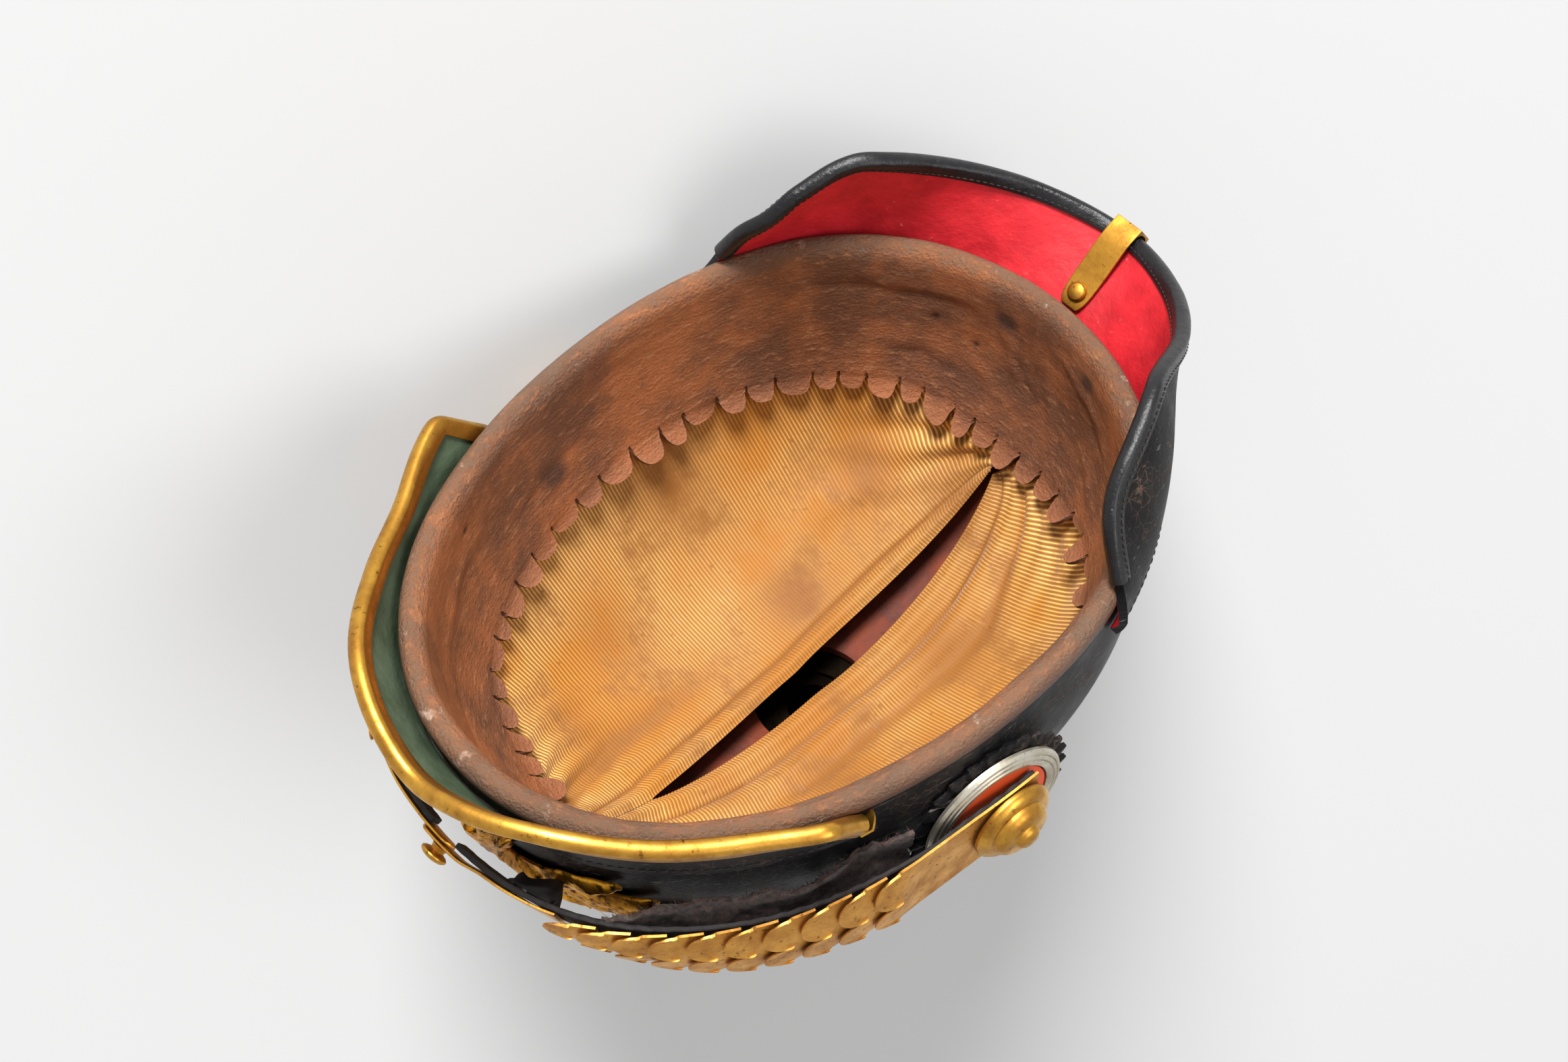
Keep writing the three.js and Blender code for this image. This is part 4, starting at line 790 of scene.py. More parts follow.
frontVisor = {
    "thick": 2.4, "seamZ": 9, "middle": 90, "spread": 1.13, "clear": 0.15, "stations": 120, "rows": 22,
    "edge": {
        "angle": [29, 40, 55, 70, 80, 90, 100, 110, 125, 140, 155],
        "reach": [7, 5, 6.5, 10, 12, 12.3, 12, 10, 6, 4.5, 9],
        "drop": [8, 9.5, 12.5, 16, 14, 9, 14, 16, 12.5, 9.5, 10],
        "belly": [3, 3, 3, 4, 5, 5, 5, 4, 3, 3, 3],
    },
}
rearVisor = {
    "thick": 2.4, "seamZ": 9, "middle": -90, "spread": 1, "clear": 0.15, "stations": 200, "rows": 34,
    "edge": {
        "angle": [-155.5, -150.8, -146, -141, -130, -123, -113, -103, -90,
                  -77, -67, -57, -50, -39, -34, -29.2, -24.5],
        "reach": [4, -5, -8.5, -8, -4, 0, 11, 20, 26.5, 20, 11, 0, -4, -8, -8.5, -5, 4],
        "drop": [-3, 17, 24, 30, 36.5, 34, 24, 16, 9.5, 16, 24, 34, 36.5, 30, 24, 17, -3],
        "belly": [3.3, 3, 3.2, 4.2, 6.5, 8, 9, 10, 10.5, 10, 9, 8, 6.5, 4.2, 3.2, 3, 3.3],
    },
}
trim = {"arm": 3.1, "inside": 1.75, "skin": 0.65, "bead": 1.75, "dent": 0.5, "wave": 0.35}
endTab = {"length": 7.5, "halfWidth": 2.6, "reach": 2.6, "thick": 0.7, "lift": 2.4}
binding = {"arm": 2.8, "inside": 1.7, "skin": 0.6, "bead": 1.5, "ends": 5, "seamBack": 1.8}
edgeLook = {"points": 260, "sidePoints": 16, "sideFrom": 0.33, "rounds": 6}


def visorPoint(visor, angle, t):  # t runs from the seam on the skull to the free edge
    table, middle, seamZ = visor["edge"], visor["middle"], visor["seamZ"]
    angle, t = np.broadcast_arrays(np.asarray(angle, float), np.asarray(t, float))
    drop = tableAt(table, "drop", angle)
    seamAngle = middle + (angle - middle) * visor["spread"]
    seam = atHeight(skull, seamAngle, seamZ, -(visor["clear"] + visor["thick"] / 2))

    def rim(a, out, z):
        p = oval(a, skull["halfWidth"], skull["halfLength"]) + outward(a) * out[..., None]
        p[..., 2] = z
        return p

    edge = rim(angle, tableAt(table, "reach", angle), -drop)
    belly = rim((angle + seamAngle) / 2, tableAt(table, "belly", angle), (seamZ - drop) / 2)
    t = t[..., None]
    return (1 - t) ** 2 * seam + 2 * t * (1 - t) * belly + t * t * edge


def visorFace(visor, angle, t):
    first, last = visor["edge"]["angle"][0], visor["edge"]["angle"][-1]
    t = np.asarray(t, float)
    further = np.minimum(t + 0.02, 1)
    across = visorPoint(visor, angle, further) - visorPoint(visor, angle, further - 0.04)
    ahead, behind = np.minimum(angle + 0.7, last), np.maximum(angle - 0.7, first)
    return unit(np.cross(across, visorPoint(visor, ahead, t) - visorPoint(visor, behind, t)))


def makeVisor(name, node, visor, underFinish, slot, cockle):
    first, last = visor["edge"]["angle"][0], visor["edge"]["angle"][-1]
    angle = np.linspace(first, last, visor["stations"])[:, None]
    t = np.linspace(0, 1, visor["rows"])[None, :]
    centre, face = visorPoint(visor, angle, t), visorFace(visor, angle, t)
    upper, lower = (centre + face * side * visor["thick"] / 2 for side in (1, -1))
    free = np.minimum(1, np.minimum(t, 1 - t) * 8)[..., None] * np.ones((len(angle), 1, 1))
    cockles = (ripple(lower, 16, 6) + ripple(lower, 6, 7) * 0.3) * cockle
    lower = lower + face * cockles[..., None] * free
    sections = np.concatenate([upper, lower[:, ::-1]], 1)
    rows = visor["rows"]
    picks = [0] * rows + [1] * (rows - 1) + [0]
    obj = loftObject(name, sections, [black, underFinish], picks=picks)
    return ridesFor(obj, slot, node)


def edgePath(visor, withSides):  # dense points along a visor's edge, with the way out and the upper face
    first, last = visor["edge"]["angle"][0], visor["edge"]["angle"][-1]
    inner = (last - first) * 0.003
    spots = [(angle, 1.0) for angle in np.linspace(first, last, edgeLook["points"])]
    if withSides:
        rise = np.linspace(edgeLook["sideFrom"], 1, edgeLook["sidePoints"])[:-1]
        spots = [(first, share) for share in rise] + spots + [(last, share) for share in rise[::-1]]
    angles, shares = np.array(spots).T
    points = visorPoint(visor, angles, shares)
    faces = visorFace(visor, np.clip(angles, first + inner, last - inner), np.minimum(shares, 0.99))
    for _ in range(edgeLook["rounds"]):  # rounds the squared corners
        points[1:-1] = (points[:-2] + 2 * points[1:-1] + points[2:]) / 4
        faces[1:-1] = unit(faces[:-2] + 2 * faces[1:-1] + faces[2:])
    out = unit(np.cross(unit(np.gradient(points, axis=0)), faces))
    half = len(out) // 2
    inwards = out[half] @ (points[half] - visorPoint(visor, visor["middle"], 0.5)) < 0
    return points, -out if inwards else out, faces


def sweepChannel(name, path, sizes, finish, slot, node):  # a C along the edge, with a rounded back
    arm, inner = sizes["arm"], sizes["inside"]
    outer = inner + sizes["skin"]
    bend = np.linspace(math.pi / 2, -math.pi / 2, 9)
    back = [(0.5 + sizes["bead"] * math.cos(a), outer * math.sin(a)) for a in bend]
    profile = [(-arm, inner), (-arm, outer - 0.15), (-arm + 0.25, outer)] + back + [
        (-arm + 0.25, -outer), (-arm, -outer + 0.15), (-arm, -inner), (0.5, -inner), (0.5, inner)]
    sections = [[p + o * a + f * b for a, b in profile] for p, o, f in zip(*path)]
    return ridesFor(loftObject(name, sections, [finish], sharp=50), slot, node)


def makeTrimEnd(path):  # the channel's end is hammered flat and bent down over the visor's corner
    s, w = np.meshgrid(np.linspace(0, 1, 14), np.linspace(-1, 1, 9), indexing="ij")
    end, out, face = (part[0] for part in path)
    back = unit(end - path[0][6])
    tip = np.sqrt(1 - np.clip(s - 0.72, 0, 1) ** 2 * 11)
    width = endTab["halfWidth"] * (0.75 + 0.3 * np.sin(s * 3)) * tip
    grid = (end + back * (endTab["reach"] * np.sin(s * 2.6) + 0.4)[..., None]
            + face * (endTab["lift"] - s * endTab["length"])[..., None] + out * (w * width)[..., None])
    obj = sheetObject("frontVisorTrimEnd", grid, np.stack([s, w], -1), gilt, endTab["thick"])
    return ridesFor(obj, "brass")


def seamPath(visor, t, lift, endsLeft=1.5):
    first, last = visor["edge"]["angle"][0] + endsLeft, visor["edge"]["angle"][-1] - endsLeft
    angle = np.linspace(first, last, 220)
    return visorPoint(visor, angle, t) + visorFace(visor, angle, t) * lift


makeVisor("frontVisorLeather", "front_visor", frontVisor, green, "green_leather", 0.5)
makeVisor("rearVisorLeather", "rear_visor", rearVisor, red, "red_leather", 0.55)
trimPoints, trimOut, trimFaces = edgePath(frontVisor, True)
dents = ripple(trimPoints, 24, 2)[:, None] * trim["dent"]
waves = ripple(trimPoints, 17, 3)[:, None] * trim["wave"]
trimPath = (trimPoints + trimOut * dents + trimFaces * waves, trimOut, trimFaces)
sweepChannel("frontVisorBrassTrim", trimPath, trim, gilt, "brass", "front_visor_trim")
makeTrimEnd(trimPath)
guard = [part[binding["ends"]:-binding["ends"]] for part in edgePath(rearVisor, False)]
sweepChannel("neckGuardBinding", guard, binding, patent, "black_leather", "rear_visor_binding")
under = -(binding["inside"] + binding["skin"] + 0.05)
bindingSeams = [guard[0] - guard[1] * binding["seamBack"] + guard[2] * lift for lift in (under, -under)]
stitches("bindingStitches", bindingSeams, 2, 1.5, 0.45, thread, "black_leather")
visorSeams = [seamPath(frontVisor, 0.16, 1.25), seamPath(rearVisor, 0.09, 1.25, 4)]
stitches("visorSeamStitches", visorSeams, 2.6, 1.9, 0.5, thread, "black_leather")
print("visors made")

# turned brass pieces and cockades

spikeBore = [(0, 70), (3.7, 56), (7.4, 14), (7.4, 0), (12.4, 0)]  # radius and height, from the hollow's top
spikeSkin = [(12.5, 3), (12.4, 6), (11.6, 7.6), (10.4, 9), (9.4, 11.5), (9, 14), (9.8, 15.6), (10.6, 18),
             (10.7, 20.5), (10.2, 24), (9.6, 30), (7.9, 46), (5.6, 66), (3.8, 90), (2.1, 111), (1.8, 114.4),
             (1.1, 115.6), (0, 116)]
collarProfile = [(13, 0), (18.5, 0), (18.9, 2.1), (18.3, 3.2), (17, 4.2), (15.6, 4.7), (14.4, 5.8), (13, 6)]
cockade = {
    "radius": 25.5, "flat": 15, "teeth": 26, "depth": 1.7, "thick": 0.5, "fold": 0.65, "rise": 2.6,
    "inner": 16.4, "outer": 21.7, "saw": [0, 0.15, 0.35, 0.55, 0.75, 0.92, 1, 0.5, 0],  # slow up, fast down
    "forward": 4, "height": 33.4, "turn": 0.13, "standOff": 0.6,
}
ringEdge = [(-3, 0), (0, -0.9), (0, -0.1), (-0.5, 0.75), (-1.2, 0.95), (-1.5, 0.65), (-1.8, 1.15),
            (-2.6, 1.35), (-3, 1), (-3.3, 1.5), (-4.1, 1.6)]  # from the ring's outer radius


def makeSpike():
    base = (0, -plan["crownBack"], spikeFoot)
    turned = (("spikeTurned", "spike", spikeBore + spikeSkin, [1] * 4 + [0] * (len(spikeSkin) + 1)),
              ("spikeCollarTurned", "spike_collar", collarProfile, [0] * 7 + [1]))
    for name, node, profile, picks in turned:  # the surfaces inside take a nearly black painted shade
        obj = latheObject(name, profile, 72, base, (0, 0, 1), [gilt, insideShade], sharp=55, picks=picks)
        ridesFor(obj, "brass", node)


def makeCockadeDisc(side, base, axisOut):
    radius, teeth, thick = cockade["radius"], cockade["teeth"], cockade["thick"]
    turns, saw = np.linspace(0, 2 * np.pi / teeth, 9), np.array(cockade["saw"])
    rows = []
    for share in np.linspace(0, 1, 10):
        reach = cockade["flat"] + (radius - cockade["flat"] - cockade["depth"] * (1 - saw) * share) * share
        height = thick + (cockade["rise"] - thick) * (1 - share) + cockade["fold"] * saw * share ** 0.5
        rows.append(np.stack([reach * np.cos(turns), reach * np.sin(turns), height], 1))
    grid = np.array(rows + [rows[-1] * [1, 1, 0], rows[0] * [1, 1, 0], rows[0]])
    mesh = bpy.data.meshes.new("cockadePleats" + side)
    mesh.from_pydata((grid.reshape(-1, 3) / 1000).tolist(), [], gridFaces(*grid.shape[:2], flip=True))
    obj = linked("cockadePleats" + side, mesh)
    runTree(obj, pleats, Teeth=teeth, Finish=black)
    weld(obj, 1e-5, closed=True)
    forward = axes @ axisOut
    across = unit(np.cross(forward, axes @ np.array([0, 0, 1.0])))
    turn = Matrix(np.stack([across, np.cross(forward, across), forward], 1).tolist()).to_4x4()
    obj.data.transform(Matrix.Translation(placed(base)) @ turn)
    return ridesFor(obj, "black_leather", "cockade_disc_" + side.lower())


def makeCockade(side, sign, paint, slot):
    axisOut = unit(np.array([sign, cockade["turn"], 0]))
    rimX = oval(0 if sign > 0 else 180, skull["halfWidth"], skull["halfLength"])[0]
    base = np.array([rimX + sign * cockade["standOff"], cockade["forward"], cockade["height"]])
    makeCockadeDisc(side, base, axisOut)
    seat = base + axisOut * (cockade["rise"] + gap)
    inner, outer = cockade["inner"], cockade["outer"]
    ringProfile = [(inner, 0), *((outer + r, h) for r, h in ringEdge), (inner + 0.8, 1.5), (inner + 0.2, 1)]
    ring = latheObject("cockadeSilverRing" + side, ringProfile, 96, seat, axisOut, [silvered], sharp=30)
    ridesFor(ring, "silver", "cockade_ring_" + side.lower())
    centreProfile = [(0, 0), (inner - gap, 0), (inner - gap, 0.7), (inner - 1, 0.85), (8, 0.9), (0, 0.9)]
    centre = latheObject("cockadeCentre" + side, centreProfile, 72, seat, axisOut, [paint])
    ridesFor(centre, slot, "cockade_centre_" + side.lower())


makeSpike()
makeCockade("Right", 1, orange, "red_paint")
makeCockade("Left", -1, blackPaint, "black_paint")
print("spike and cockades made")

# chin strap

strap = {
    "halfWidth": 91.6, "halfLength": 115.6, "height": 32, "frontHeight": 25, "thick": 1.5, "from": -3,
    "to": 87, "bulge": {"Right": 2.5, "Left": 0}, "tuck": 1.1, "tuckEnds": (7, 16),
    "lean": 24, "leans": (40, 85), "drops": (30, 90),
    "widths": {"angle": [-3, 25, 50, 68, 78, 84, 95], "leather": [21, 21, 18, 13, 9, 6, 6],
               "brass": [25, 25, 21, 14, 10, 6.5, 6]},
}
scales = {"count": 10, "first": 24, "pitch": 5, "lap": 1.5, "flatTo": 9, "thick": 0.7, "bow": 1.6,
          "lobe": 0.42}
strapEnd = {"from": 67.5, "thick": 0.9, "to": {"Right": 94, "Left": 92.5},
            "lift": {"Right": 1.6, "Left": gap}, "rises": (80, 86), "tip": 2.2}
cloth = {"from": 15, "to": 61, "depth": 8.6, "width": 22, "thick": 1.2}
flap = {"from": 69, "to": 77, "reach": 6.5, "thick": 1.1}
boss = {
    "angle": 2, "seat": 1.7,  # over the leather and the scale's flat root
    "profile": [(0, 0), (12.2, 0), (12.3, 0.7), (12.1, 1.4), (11.4, 2.2), (10.6, 2.9), (9.6, 3.2), (8.9, 3.3),
                (8.7, 3.9), (8.5, 4.6), (7.6, 5.6), (6.4, 6.2), (5, 6.4), (3.9, 6.5), (3.7, 6.9), (3.5, 7.5),
                (2.6, 8.2), (1.2, 8.55), (0, 8.6)],
}
stud = {"angle": 89.5, "profile": [(0, 0), (2.4, 0), (2.1, 0.7), (2, 1.4), (3.4, 1.9), (4, 2.4), (3.9, 3),
                                   (3.2, 3.6), (1.8, 4), (0, 4.2)]}


def strapLine(side, angle):  # the middle of the strap's outer face, with the ways up and out there
    sign = 1 if side == "Right" else -1

    def spot(a):
        swell = strap["bulge"][side] * np.sin(np.radians(2 * a)) ** 2
        swell -= strap["tuck"] * (1 - smoothStep(a, *strap["tuckEnds"]))
        return oval(a if sign > 0 else 180 - a, strap["halfWidth"] + swell, strap["halfLength"] + swell)

    angle = np.asarray(angle, float)
    middle = spot(angle)
    along = unit(spot(angle + 0.5) - spot(angle - 0.5))
    out = np.stack([along[..., 1], -along[..., 0], 0 * along[..., 0]], -1) * sign
    lean = np.radians(strap["lean"]) * smoothStep(angle, *strap["leans"])
    up, face = -out * np.sin(lean)[..., None], out * np.cos(lean)[..., None]
    up[..., 2] += np.cos(lean)
    face[..., 2] += np.sin(lean)
    drop = (strap["frontHeight"] - strap["height"]) * smoothStep(angle, *strap["drops"])
    middle[..., 2] = strap["height"] + drop
    return middle, up, face


def onStrap(side, angle, w, f):
    middle, up, face = strapLine(side, angle)
    return middle + up * np.asarray(w)[..., None] + face * np.asarray(f)[..., None]


def makeStrapLeather(side):
    angle = np.linspace(strap["from"], strap["to"], 110)
    half = tableAt(strap["widths"], "leather", angle) / 2
    ragged = 0.25 * np.sin(angle * 2.3) + 0.2 * np.sin(angle * 5.1 + 1)
    profile = [(-1, -0.3), (-1, -1.2), (-0.97, -1.5), (-0.4, -1.5), (0.4, -1.5), (0.97, -1.5), (1, -1.2),
               (1, -0.3), (0.97, 0), (0.4, 0), (-0.4, 0), (-0.97, 0)]
    sections = np.stack([onStrap(side, angle, w * (half - 0.2 + ragged * abs(w)), 0 * angle + f)
                         for w, f in profile], 1)
    obj = loftObject("chinStrapLeather" + side, sections, [strapHide])
    return ridesFor(obj, "black_leather", "strap_" + side.lower())


def makeScales(side):
    w = np.sin(np.linspace(-1, 1, 27) * math.pi / 2) * 0.5
    w = np.concatenate([w - 0.5, (w + 0.5)[1:]])  # closer together at the edges and in the middle
    fromLobe = (np.abs(w) - 0.5) / 0.5
    lobeDrop = scales["lobe"] * (1 - np.sqrt(np.clip(1 - fromLobe ** 2, 0, 1)))
    points, faces, start = [], [], 0
    for k in range(scales["count"]):
        end = scales["first"] + k * scales["pitch"]
        root = end - scales["pitch"] * scales["lap"]
        half = float(tableAt(strap["widths"], "brass", end)) / 2
        rows = [(root + (end - root) * s, s, 1) for s in np.linspace(0, 1, 15)]
        if k == 0:
            rows = [(a, 0, 0) for a in np.linspace(strap["from"], scales["flatTo"], 8)] + rows[1:]
        walls = []
        for outer in (1, 0):
            grid = []
            for angle, share, bowed in rows:
                reach = share - lobeDrop * smoothStep(share, 0.35, 1)
                spot = root + (end - root) * reach if bowed else 0 * w + angle
                width = half * np.interp(share, [0, 0.6, 0.9, 1], [0.92, 1, 1, 0.97])
                lift = np.interp(share, [0, 0.7, 0.92, 1], [0.5, 1.8, 2.2, 2.3]) if bowed else gap
                bow = scales["bow"] * (1 - w ** 2) * smoothStep(share, 0, 0.5 if k == 0 else 0.01)
                thick = scales["thick"] * outer + 0.25 * (share > 0.97) * (1 - outer)
                grid.append(onStrap(side, spot, w * width, lift + bow + thick))
            walls.append(np.array(grid))
        shape = walls[0].shape[:2]
        index = np.arange(shape[0] * shape[1]).reshape(shape)
        flip = side == "Right"
        for wall, turned in zip(walls, (flip, not flip)):
            faces += [[start + v for v in face] for face in gridFaces(*shape, flip=turned)]
            points.append(wall.reshape(-1, 3))
            start += index.size
        border = np.concatenate([index[0, :-1], index[:-1, -1], index[-1, :0:-1], index[:0:-1, 0]])
        tops = start - 2 * index.size + border
        for u, v in zip(tops.tolist(), np.roll(tops, -1).tolist()):
            wall = [u, v, v + index.size, u + index.size]
            faces.append(wall if flip else wall[::-1])
    obj = newObject("chinScales" + side, np.concatenate(points), faces)
    obj.data.materials.append(wornGilt)
    settle(weld(obj, closed=True))
    names = [f"scale_{side.lower()}_{k + 1:02d}" for k in range(scales["count"])]
    return ridesFor(obj, "brass", *names)


def makeBoss(side):
    middle, _, face = strapLine(side, boss["angle"])
    base = middle + face * boss["seat"]
    obj = latheObject("boss" + side, boss["profile"], 64, base, face, [gilt], sharp=60)
    return ridesFor(obj, "brass", "boss_" + side.lower())


def makeStrapEnd(side):
    last, lastLift, thick = strapEnd["to"][side], strapEnd["lift"][side], strapEnd["thick"]
    angle = np.linspace(strapEnd["from"], last, 60)
    half = tableAt(strap["widths"], "brass", angle) / 2
    tip = np.sqrt(np.clip(1 - smoothStep(angle, last - strapEnd["tip"], last) ** 2, 0.02, 1))
    lift = gap + (lastLift - gap) * smoothStep(angle, *strapEnd["rises"])
    profile = [(-1, 0.2), (-0.9, 0), (0.9, 0), (1, 0.2), (1, thick - 0.2), (0.9, thick), (-0.9, thick),
               (-1, thick - 0.2)]
    sections = np.stack([onStrap(side, angle, w * half * tip, lift + f) for w, f in profile], 1)
    obj = loftObject("strapBrassEnd" + side, sections, [gilt])
    return ridesFor(obj, "brass", "strap_end_" + side.lower())


def makeStrapCloth():  # what is left of it, crumpled towards the shell
    t, w = np.linspace(0, 1, 150)[:, None], np.linspace(-1, 1, 28)[None, :]
    angle = cloth["from"] + (cloth["to"] - cloth["from"]) * t + 0 * w
    half = cloth["width"] * (1 - 0.35 * t) / 2
    wave = np.clip(0.7 + 0.4 * ripple(onStrap("Right", angle, w * half, 0 * angle), 13, 6), 0.2, 1)
    depth = strap["thick"] + gap + cloth["depth"] * wave * smoothStep(1 - t, 0, 0.25)
    flat = onStrap("Right", angle, w * half, -depth + 0 * w)
    frayed = half * (1 + 0.16 * ripple(flat, 4, 9) * np.abs(w) ** 3)
    crumpled = depth + 1.9 * np.abs(ripple(flat, 7, 8)) + 0.6 * np.abs(ripple(flat, 2.4, 3))
    grid = onStrap("Right", angle, w * frayed, -crumpled)
    uv = np.stack(np.broadcast_arrays(t * 80, w * 11), -1)
    obj = sheetObject("strapFeltBacking", grid, uv, felt, cloth["thick"])
    ridesFor(obj, "dark_cloth", "strap_cloth_right")
    sparse = grid[::3, ::3]
    loose = newObject("strapFeltFibres", sparse.reshape(-1, 3), gridFaces(*sparse.shape[:2]))
    runTree(loose, fibres, Density=1.4e6, Length=0.0022, Width=0.00009, Finish=felt)
    ridesFor(loose, "dark_cloth")
    return obj


def makeTornFlap():  # a loose end of strap leather, curling in behind the strap
    s, t = np.meshgrid(np.linspace(0, 1, 22), np.linspace(0, 1, 30), indexing="xy")
    angle = flap["from"] + (flap["to"] - flap["from"]) * t + 0.5 * np.sin(s * 7)
    corners = np.minimum(1, np.minimum(t, 1 - t) * 9) ** 0.5
    ragged = flap["reach"] * (0.75 + 0.25 * np.sin(t * 5.5 + 0.6)) * corners
    up = -1.5 + 5.5 * s ** 2 * (1 - 0.5 * t) + 0.7 * np.sin(t * 8)
    grid = onStrap("Right", angle, up, -(strap["thick"] + gap) - s * ragged)
    obj = sheetObject("tornStrapFlap", grid, np.stack([s * 8, t * 14], -1), strapHide, flap["thick"])
    return ridesFor(obj, "black_leather")


def makeStud():
    middle, _, face = strapLine("Right", stud["angle"])
    base = middle + face * (strapEnd["lift"]["Right"] + strapEnd["thick"] + gap)
    obj = latheObject("strapStudTurned", stud["profile"], 32, base, face, [gilt], sharp=60)
    return ridesFor(obj, "brass", "strap_stud")


for sideName in ("Right", "Left"):
    for make in (makeStrapLeather, makeScales, makeStrapEnd, makeBoss):
        make(sideName)
feltBacking = makeStrapCloth()
makeTornFlap()
makeStud()
print("chin strap made")

# bird plate

bird = {
    "standOff": 1.3, "edge": 0.8, "perDegree": 1.58, "low": 15, "middle": 44, "high": 78, "rootHeight": 64,
    "tip": {"reach": 68, "height": 66, "lowReach": 46, "lowHeight": 22},  # of the top feather and the lowest
    "long": {"count": 5, "width": 8, "root": 6, "share": 1, "lift": 0, "bend": 5, "relief": 3, "barbs": 22},
    "short": {"count": 6, "width": 6.5, "root": 4, "share": 0.52, "lift": 3, "bend": 4, "relief": 4.1,
              "barbs": 11},
    "tail": {"count": 5, "width": 5.5, "root": 36, "spread": 15, "relief": 3, "barbs": 14},
    "feather": [0.8, 1.12, 1.25, 1.22, 0.98, 0.4],  # its width from root to tip
}


def reliefStrip(rows, relief, barbs, depth=0.26):  # rows of across, height and width
    rows = np.array(rows, float)
    at = np.linspace(0, len(rows) - 1, 40)
    table = {"angle": range(len(rows)), "x": rows[:, 0], "z": rows[:, 1], "width": rows[:, 2]}
    x, z, width = (tableAt(table, key, at)[:, None] for key in ("x", "z", "width"))
    dx, dz = np.gradient(x, axis=0), np.gradient(z, axis=0)
    length = np.hypot(dx, dz)
    w = np.linspace(-1, 1, 13)
    share = np.linspace(0, 1, len(x))[:, None]
    ridge = 0.22 * np.exp(-(w / 0.13) ** 2)
    comb = np.sin(2 * np.pi * (share * barbs - np.abs(w) * 1.5)) * (1 - np.exp(-(w / 0.15) ** 2))
    comb *= barbs > 0
    body = (relief - bird["edge"]) * (1 - np.abs(w) ** 1.6) + ridge + depth * comb * (1 - np.abs(w) ** 6)
    top = bird["edge"] + body * np.minimum(1, np.minimum(share, 1 - share) * 14)

    def lay(lift, w):
        flat = np.stack(np.broadcast_arrays(x + 0 * w, z + w * 3, 0 * w + 1), -1)
        lift = lift + 0.7 * ripple(flat, 7, 4) + 0.28 * ripple(flat, 2.6, 5) * (lift > 0)
        across, height = x - dz / length * w * width / 2, z + dx / length * w * width / 2
        return atHeight(skull, 90 - across / bird["perDegree"], height, -(bird["standOff"] + lift))

    return np.concatenate([lay(top, w), lay(np.zeros((len(x), 2)), np.array([1.0, -1.0]))], axis=1)


def birdFeather(root, tip, rule, bend=0):
    t = np.linspace(0, 1, len(bird["feather"]))
    x = root[0] + (tip[0] - root[0]) * t
    z = root[1] + (tip[1] - root[1]) * t + bend * np.sin(np.pi * t)
    rows = np.stack([x, z, rule["width"] * np.array(bird["feather"])], 1)
    return reliefStrip(rows, rule["relief"], rule["barbs"])


def wingFeather(rule, sign, t):  # t runs down the wing
    tip = bird["tip"]
    reach = tip["reach"] + (tip["lowReach"] - tip["reach"]) * t ** 1.6
    height = tip["height"] + (tip["lowHeight"] - tip["height"]) * t ** 0.8
    rootZ = bird["rootHeight"] + (bird["middle"] - 2 - bird["rootHeight"]) * t
    end = (sign * reach * rule["share"], rootZ + (height - rootZ) * rule["share"] + rule["lift"] * (1 - t))
    return birdFeather((sign * rule["root"], rootZ), end, rule, rule["bend"] * (1 - t))


def makeBirdPlate():
    low, middle, high, tail = (bird[key] for key in ("low", "middle", "high", "tail"))
    strips = [wingFeather(bird[layer], sign, t) for sign in (1, -1) for layer in ("long", "short")
              for t in np.linspace(0, 1, bird[layer]["count"])]
    for t in np.linspace(-0.5, 0.5, tail["count"]):
        strips.append(birdFeather((t * 8, tail["root"]), (t * 2 * tail["spread"], low + 6 * abs(t)), tail))
    body = [(0, low + 12, 9), (0, middle - 8, 20), (0, middle + 6, 23), (0, high - 14, 14), (0, high - 6, 9)]
    head = [(-1, high - 9, 9), (1, high - 4, 10), (4, high - 1.5, 9), (8, high - 1, 3.6), (11, high - 3, 1.6)]
    strips += [reliefStrip(body, 4.6, 9, 0.3), reliefStrip(head, 4.2, 0)]
    points, faces, start = [], [], 0
    for strip in strips:
        ring = np.concatenate([strip, strip[:, :1]], 1)
        faces += [[start + v for v in face] for face in ringFaces(*ring.shape[:2])]
        points.append(ring.reshape(-1, 3))
        start += len(points[-1])
    obj = newObject("birdPlate", np.concatenate(points), faces)
    obj.data.materials.append(birdGilt)
    settle(weld(obj, 2e-7, closed=True), 60)
    return ridesFor(obj, "brass", "front_plate")


makeBirdPlate()
print("bird plate made")

# pieces that keep their solid, with a finer surface

baseBore = 12.5  # radius at the crown's vent, inside which the base plate takes the painted shade


def refined(name, newName, finish, bevel, levels=2):
    obj = linked(newName, cadNodes[name].data.copy())
    obj.data.materials.clear()
    obj.data.materials.append(finish)
    shape = bmesh.new()
    shape.from_mesh(obj.data)
    bmesh.ops.remove_doubles(shape, verts=shape.verts, dist=1e-6)
    bmesh.ops.join_triangles(shape, faces=shape.faces, angle_face_threshold=0.4, angle_shape_threshold=0.7)
    shape.to_mesh(obj.data)
    shape.free()
    edge = obj.modifiers.new("edge", "BEVEL")
    edge.width, edge.segments, edge.angle_limit = bevel / 1000, 2, math.radians(35)
    smooth = obj.modifiers.new("smooth", "SUBSURF")
    smooth.levels = smooth.render_levels = levels
    return ridesFor(settle(obj, 40), "brass", name)


def makeBasePlate():  # its faces round the vent and towards the skull take the nearly black painted shade
    plate = refined("spike_base", "spikeBasePlate", gilt, 0.2, 1)
    plate.data.materials.append(insideShade)
    up, vent = axes[:, 2], placed((0, -plan["crownBack"], 0))
    for face in plate.data.polygons:
        away = np.array(face.center) - vent
        away -= up * (away @ up)
        if np.array(face.normal) @ up < -0.3 or np.linalg.norm(away) < baseBore / 1000:
            face.material_index = 1


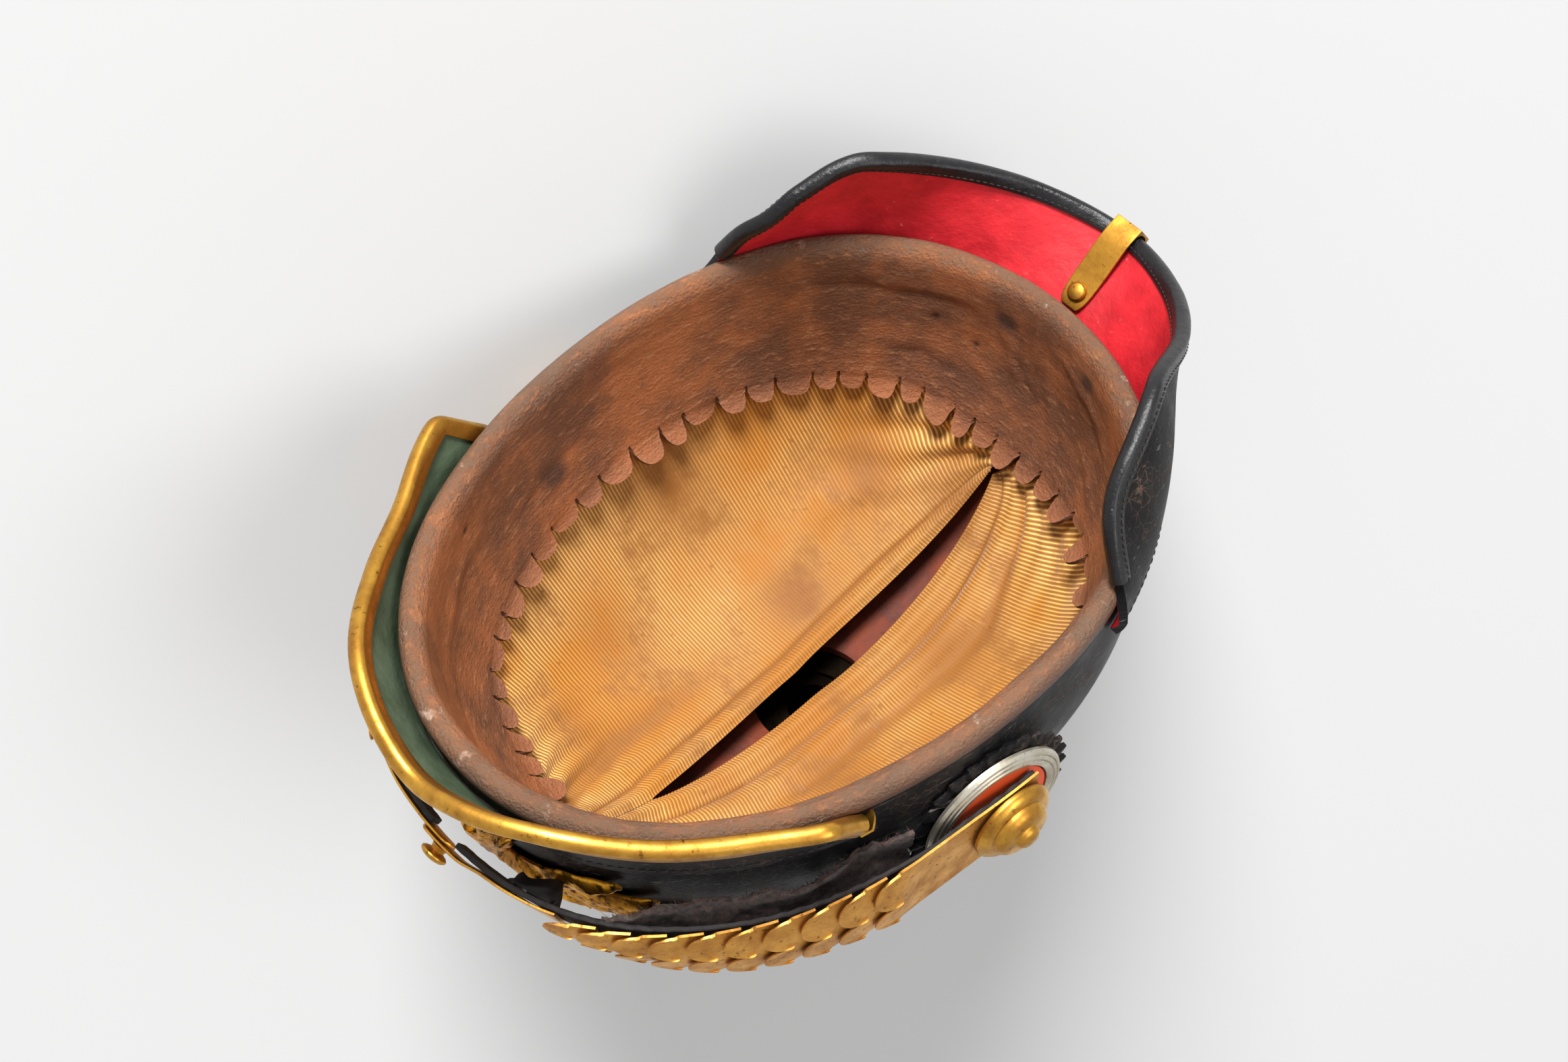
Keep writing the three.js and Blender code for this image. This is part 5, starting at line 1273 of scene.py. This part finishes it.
refined("rear_spine", "rearSpineStrip", dullGilt, 0.2)
refined("rear_spine_rivet", "rearSpineRivetHead", dullGilt, 0.3)
for number in range(1, 5):
    refined(f"base_stud_{number}", f"baseStudDome{number}", gilt, 0.3)
makeBasePlate()
print("fittings refined")

# floor, light and camera

view = {
    "towards": (0.4341, 0.364, -0.824), "right": (0.6739, -0.7382, 0.0289), "down": (0.5978, 0.5679, 0.5658),
    "distance": 675.2, "aside": 2.09, "below": 1.65, "lens": 58.55, "sensor": 36,
}
lamps = {  # aim by the camera's own directions; metres and watts
    "key": {"towards": 1, "right": -0.1, "down": -0.65, "distance": 8, "size": 3, "power": 1450},
    "fill": {"towards": 1, "right": 0.9, "down": 0.3, "distance": 8, "size": 5, "power": 300},
}
floorSize, worldLight = 6, 0.7


def makeFloor():
    mesh = bpy.data.meshes.new("floor")
    corners = [(x * floorSize, y * floorSize, 0) for x, y in ((-1, -1), (1, -1), (1, 1), (-1, 1))]
    mesh.from_pydata(corners, [], [(0, 1, 2, 3)])
    mesh.materials.append(newFinish("mattWhiteBoard", [], **{"Roughness": 0.95, "Base Color": "#b0b0b0"})[0])
    linked("floor", mesh)


def makeCamera(ways):
    data = bpy.data.cameras.new("camera")
    data.lens, data.sensor_width = view["lens"], view["sensor"]
    data.clip_start, data.clip_end = 0.01, 50
    camera = linked("camera", data)
    steps = {"towards": view["distance"], "right": view["aside"], "down": view["below"]}
    spot = placed(sum(np.array(view[key]) * size for key, size in steps.items()))
    turn = Matrix(np.stack([ways["right"], -ways["down"], ways["towards"]], 1).tolist()).to_4x4()
    camera.matrix_world = Matrix.Translation(spot) @ turn
    bpy.context.scene.camera = camera


def makeLights(ways):
    target = Vector(placed((0, 0, 30)))
    for name, lamp in lamps.items():
        data = bpy.data.lights.new(name, "AREA")
        data.shape, data.size, data.energy = "DISK", lamp["size"], lamp["power"]
        obj = linked(name, data)
        away = Vector(unit(sum(ways[key] * lamp[key] for key in ways)))
        obj.location = target + away * lamp["distance"]
        obj.rotation_mode = "QUATERNION"
        obj.rotation_quaternion = away.to_track_quat("Z", "Y")
    world = bpy.data.worlds.new("studio")
    bpy.context.scene.world = world
    world.use_nodes = True
    background = world.node_tree.nodes["Background"]
    background.inputs["Color"].default_value = (1, 1, 1, 1)
    background.inputs["Strength"].default_value = worldLight


cameraWays = {key: unit(axes @ np.array(view[key])) for key in ("towards", "right", "down")}
makeFloor()
makeCamera(cameraWays)
makeLights(cameraWays)
bpy.context.scene.view_settings.view_transform = "Standard"
print("stage set")
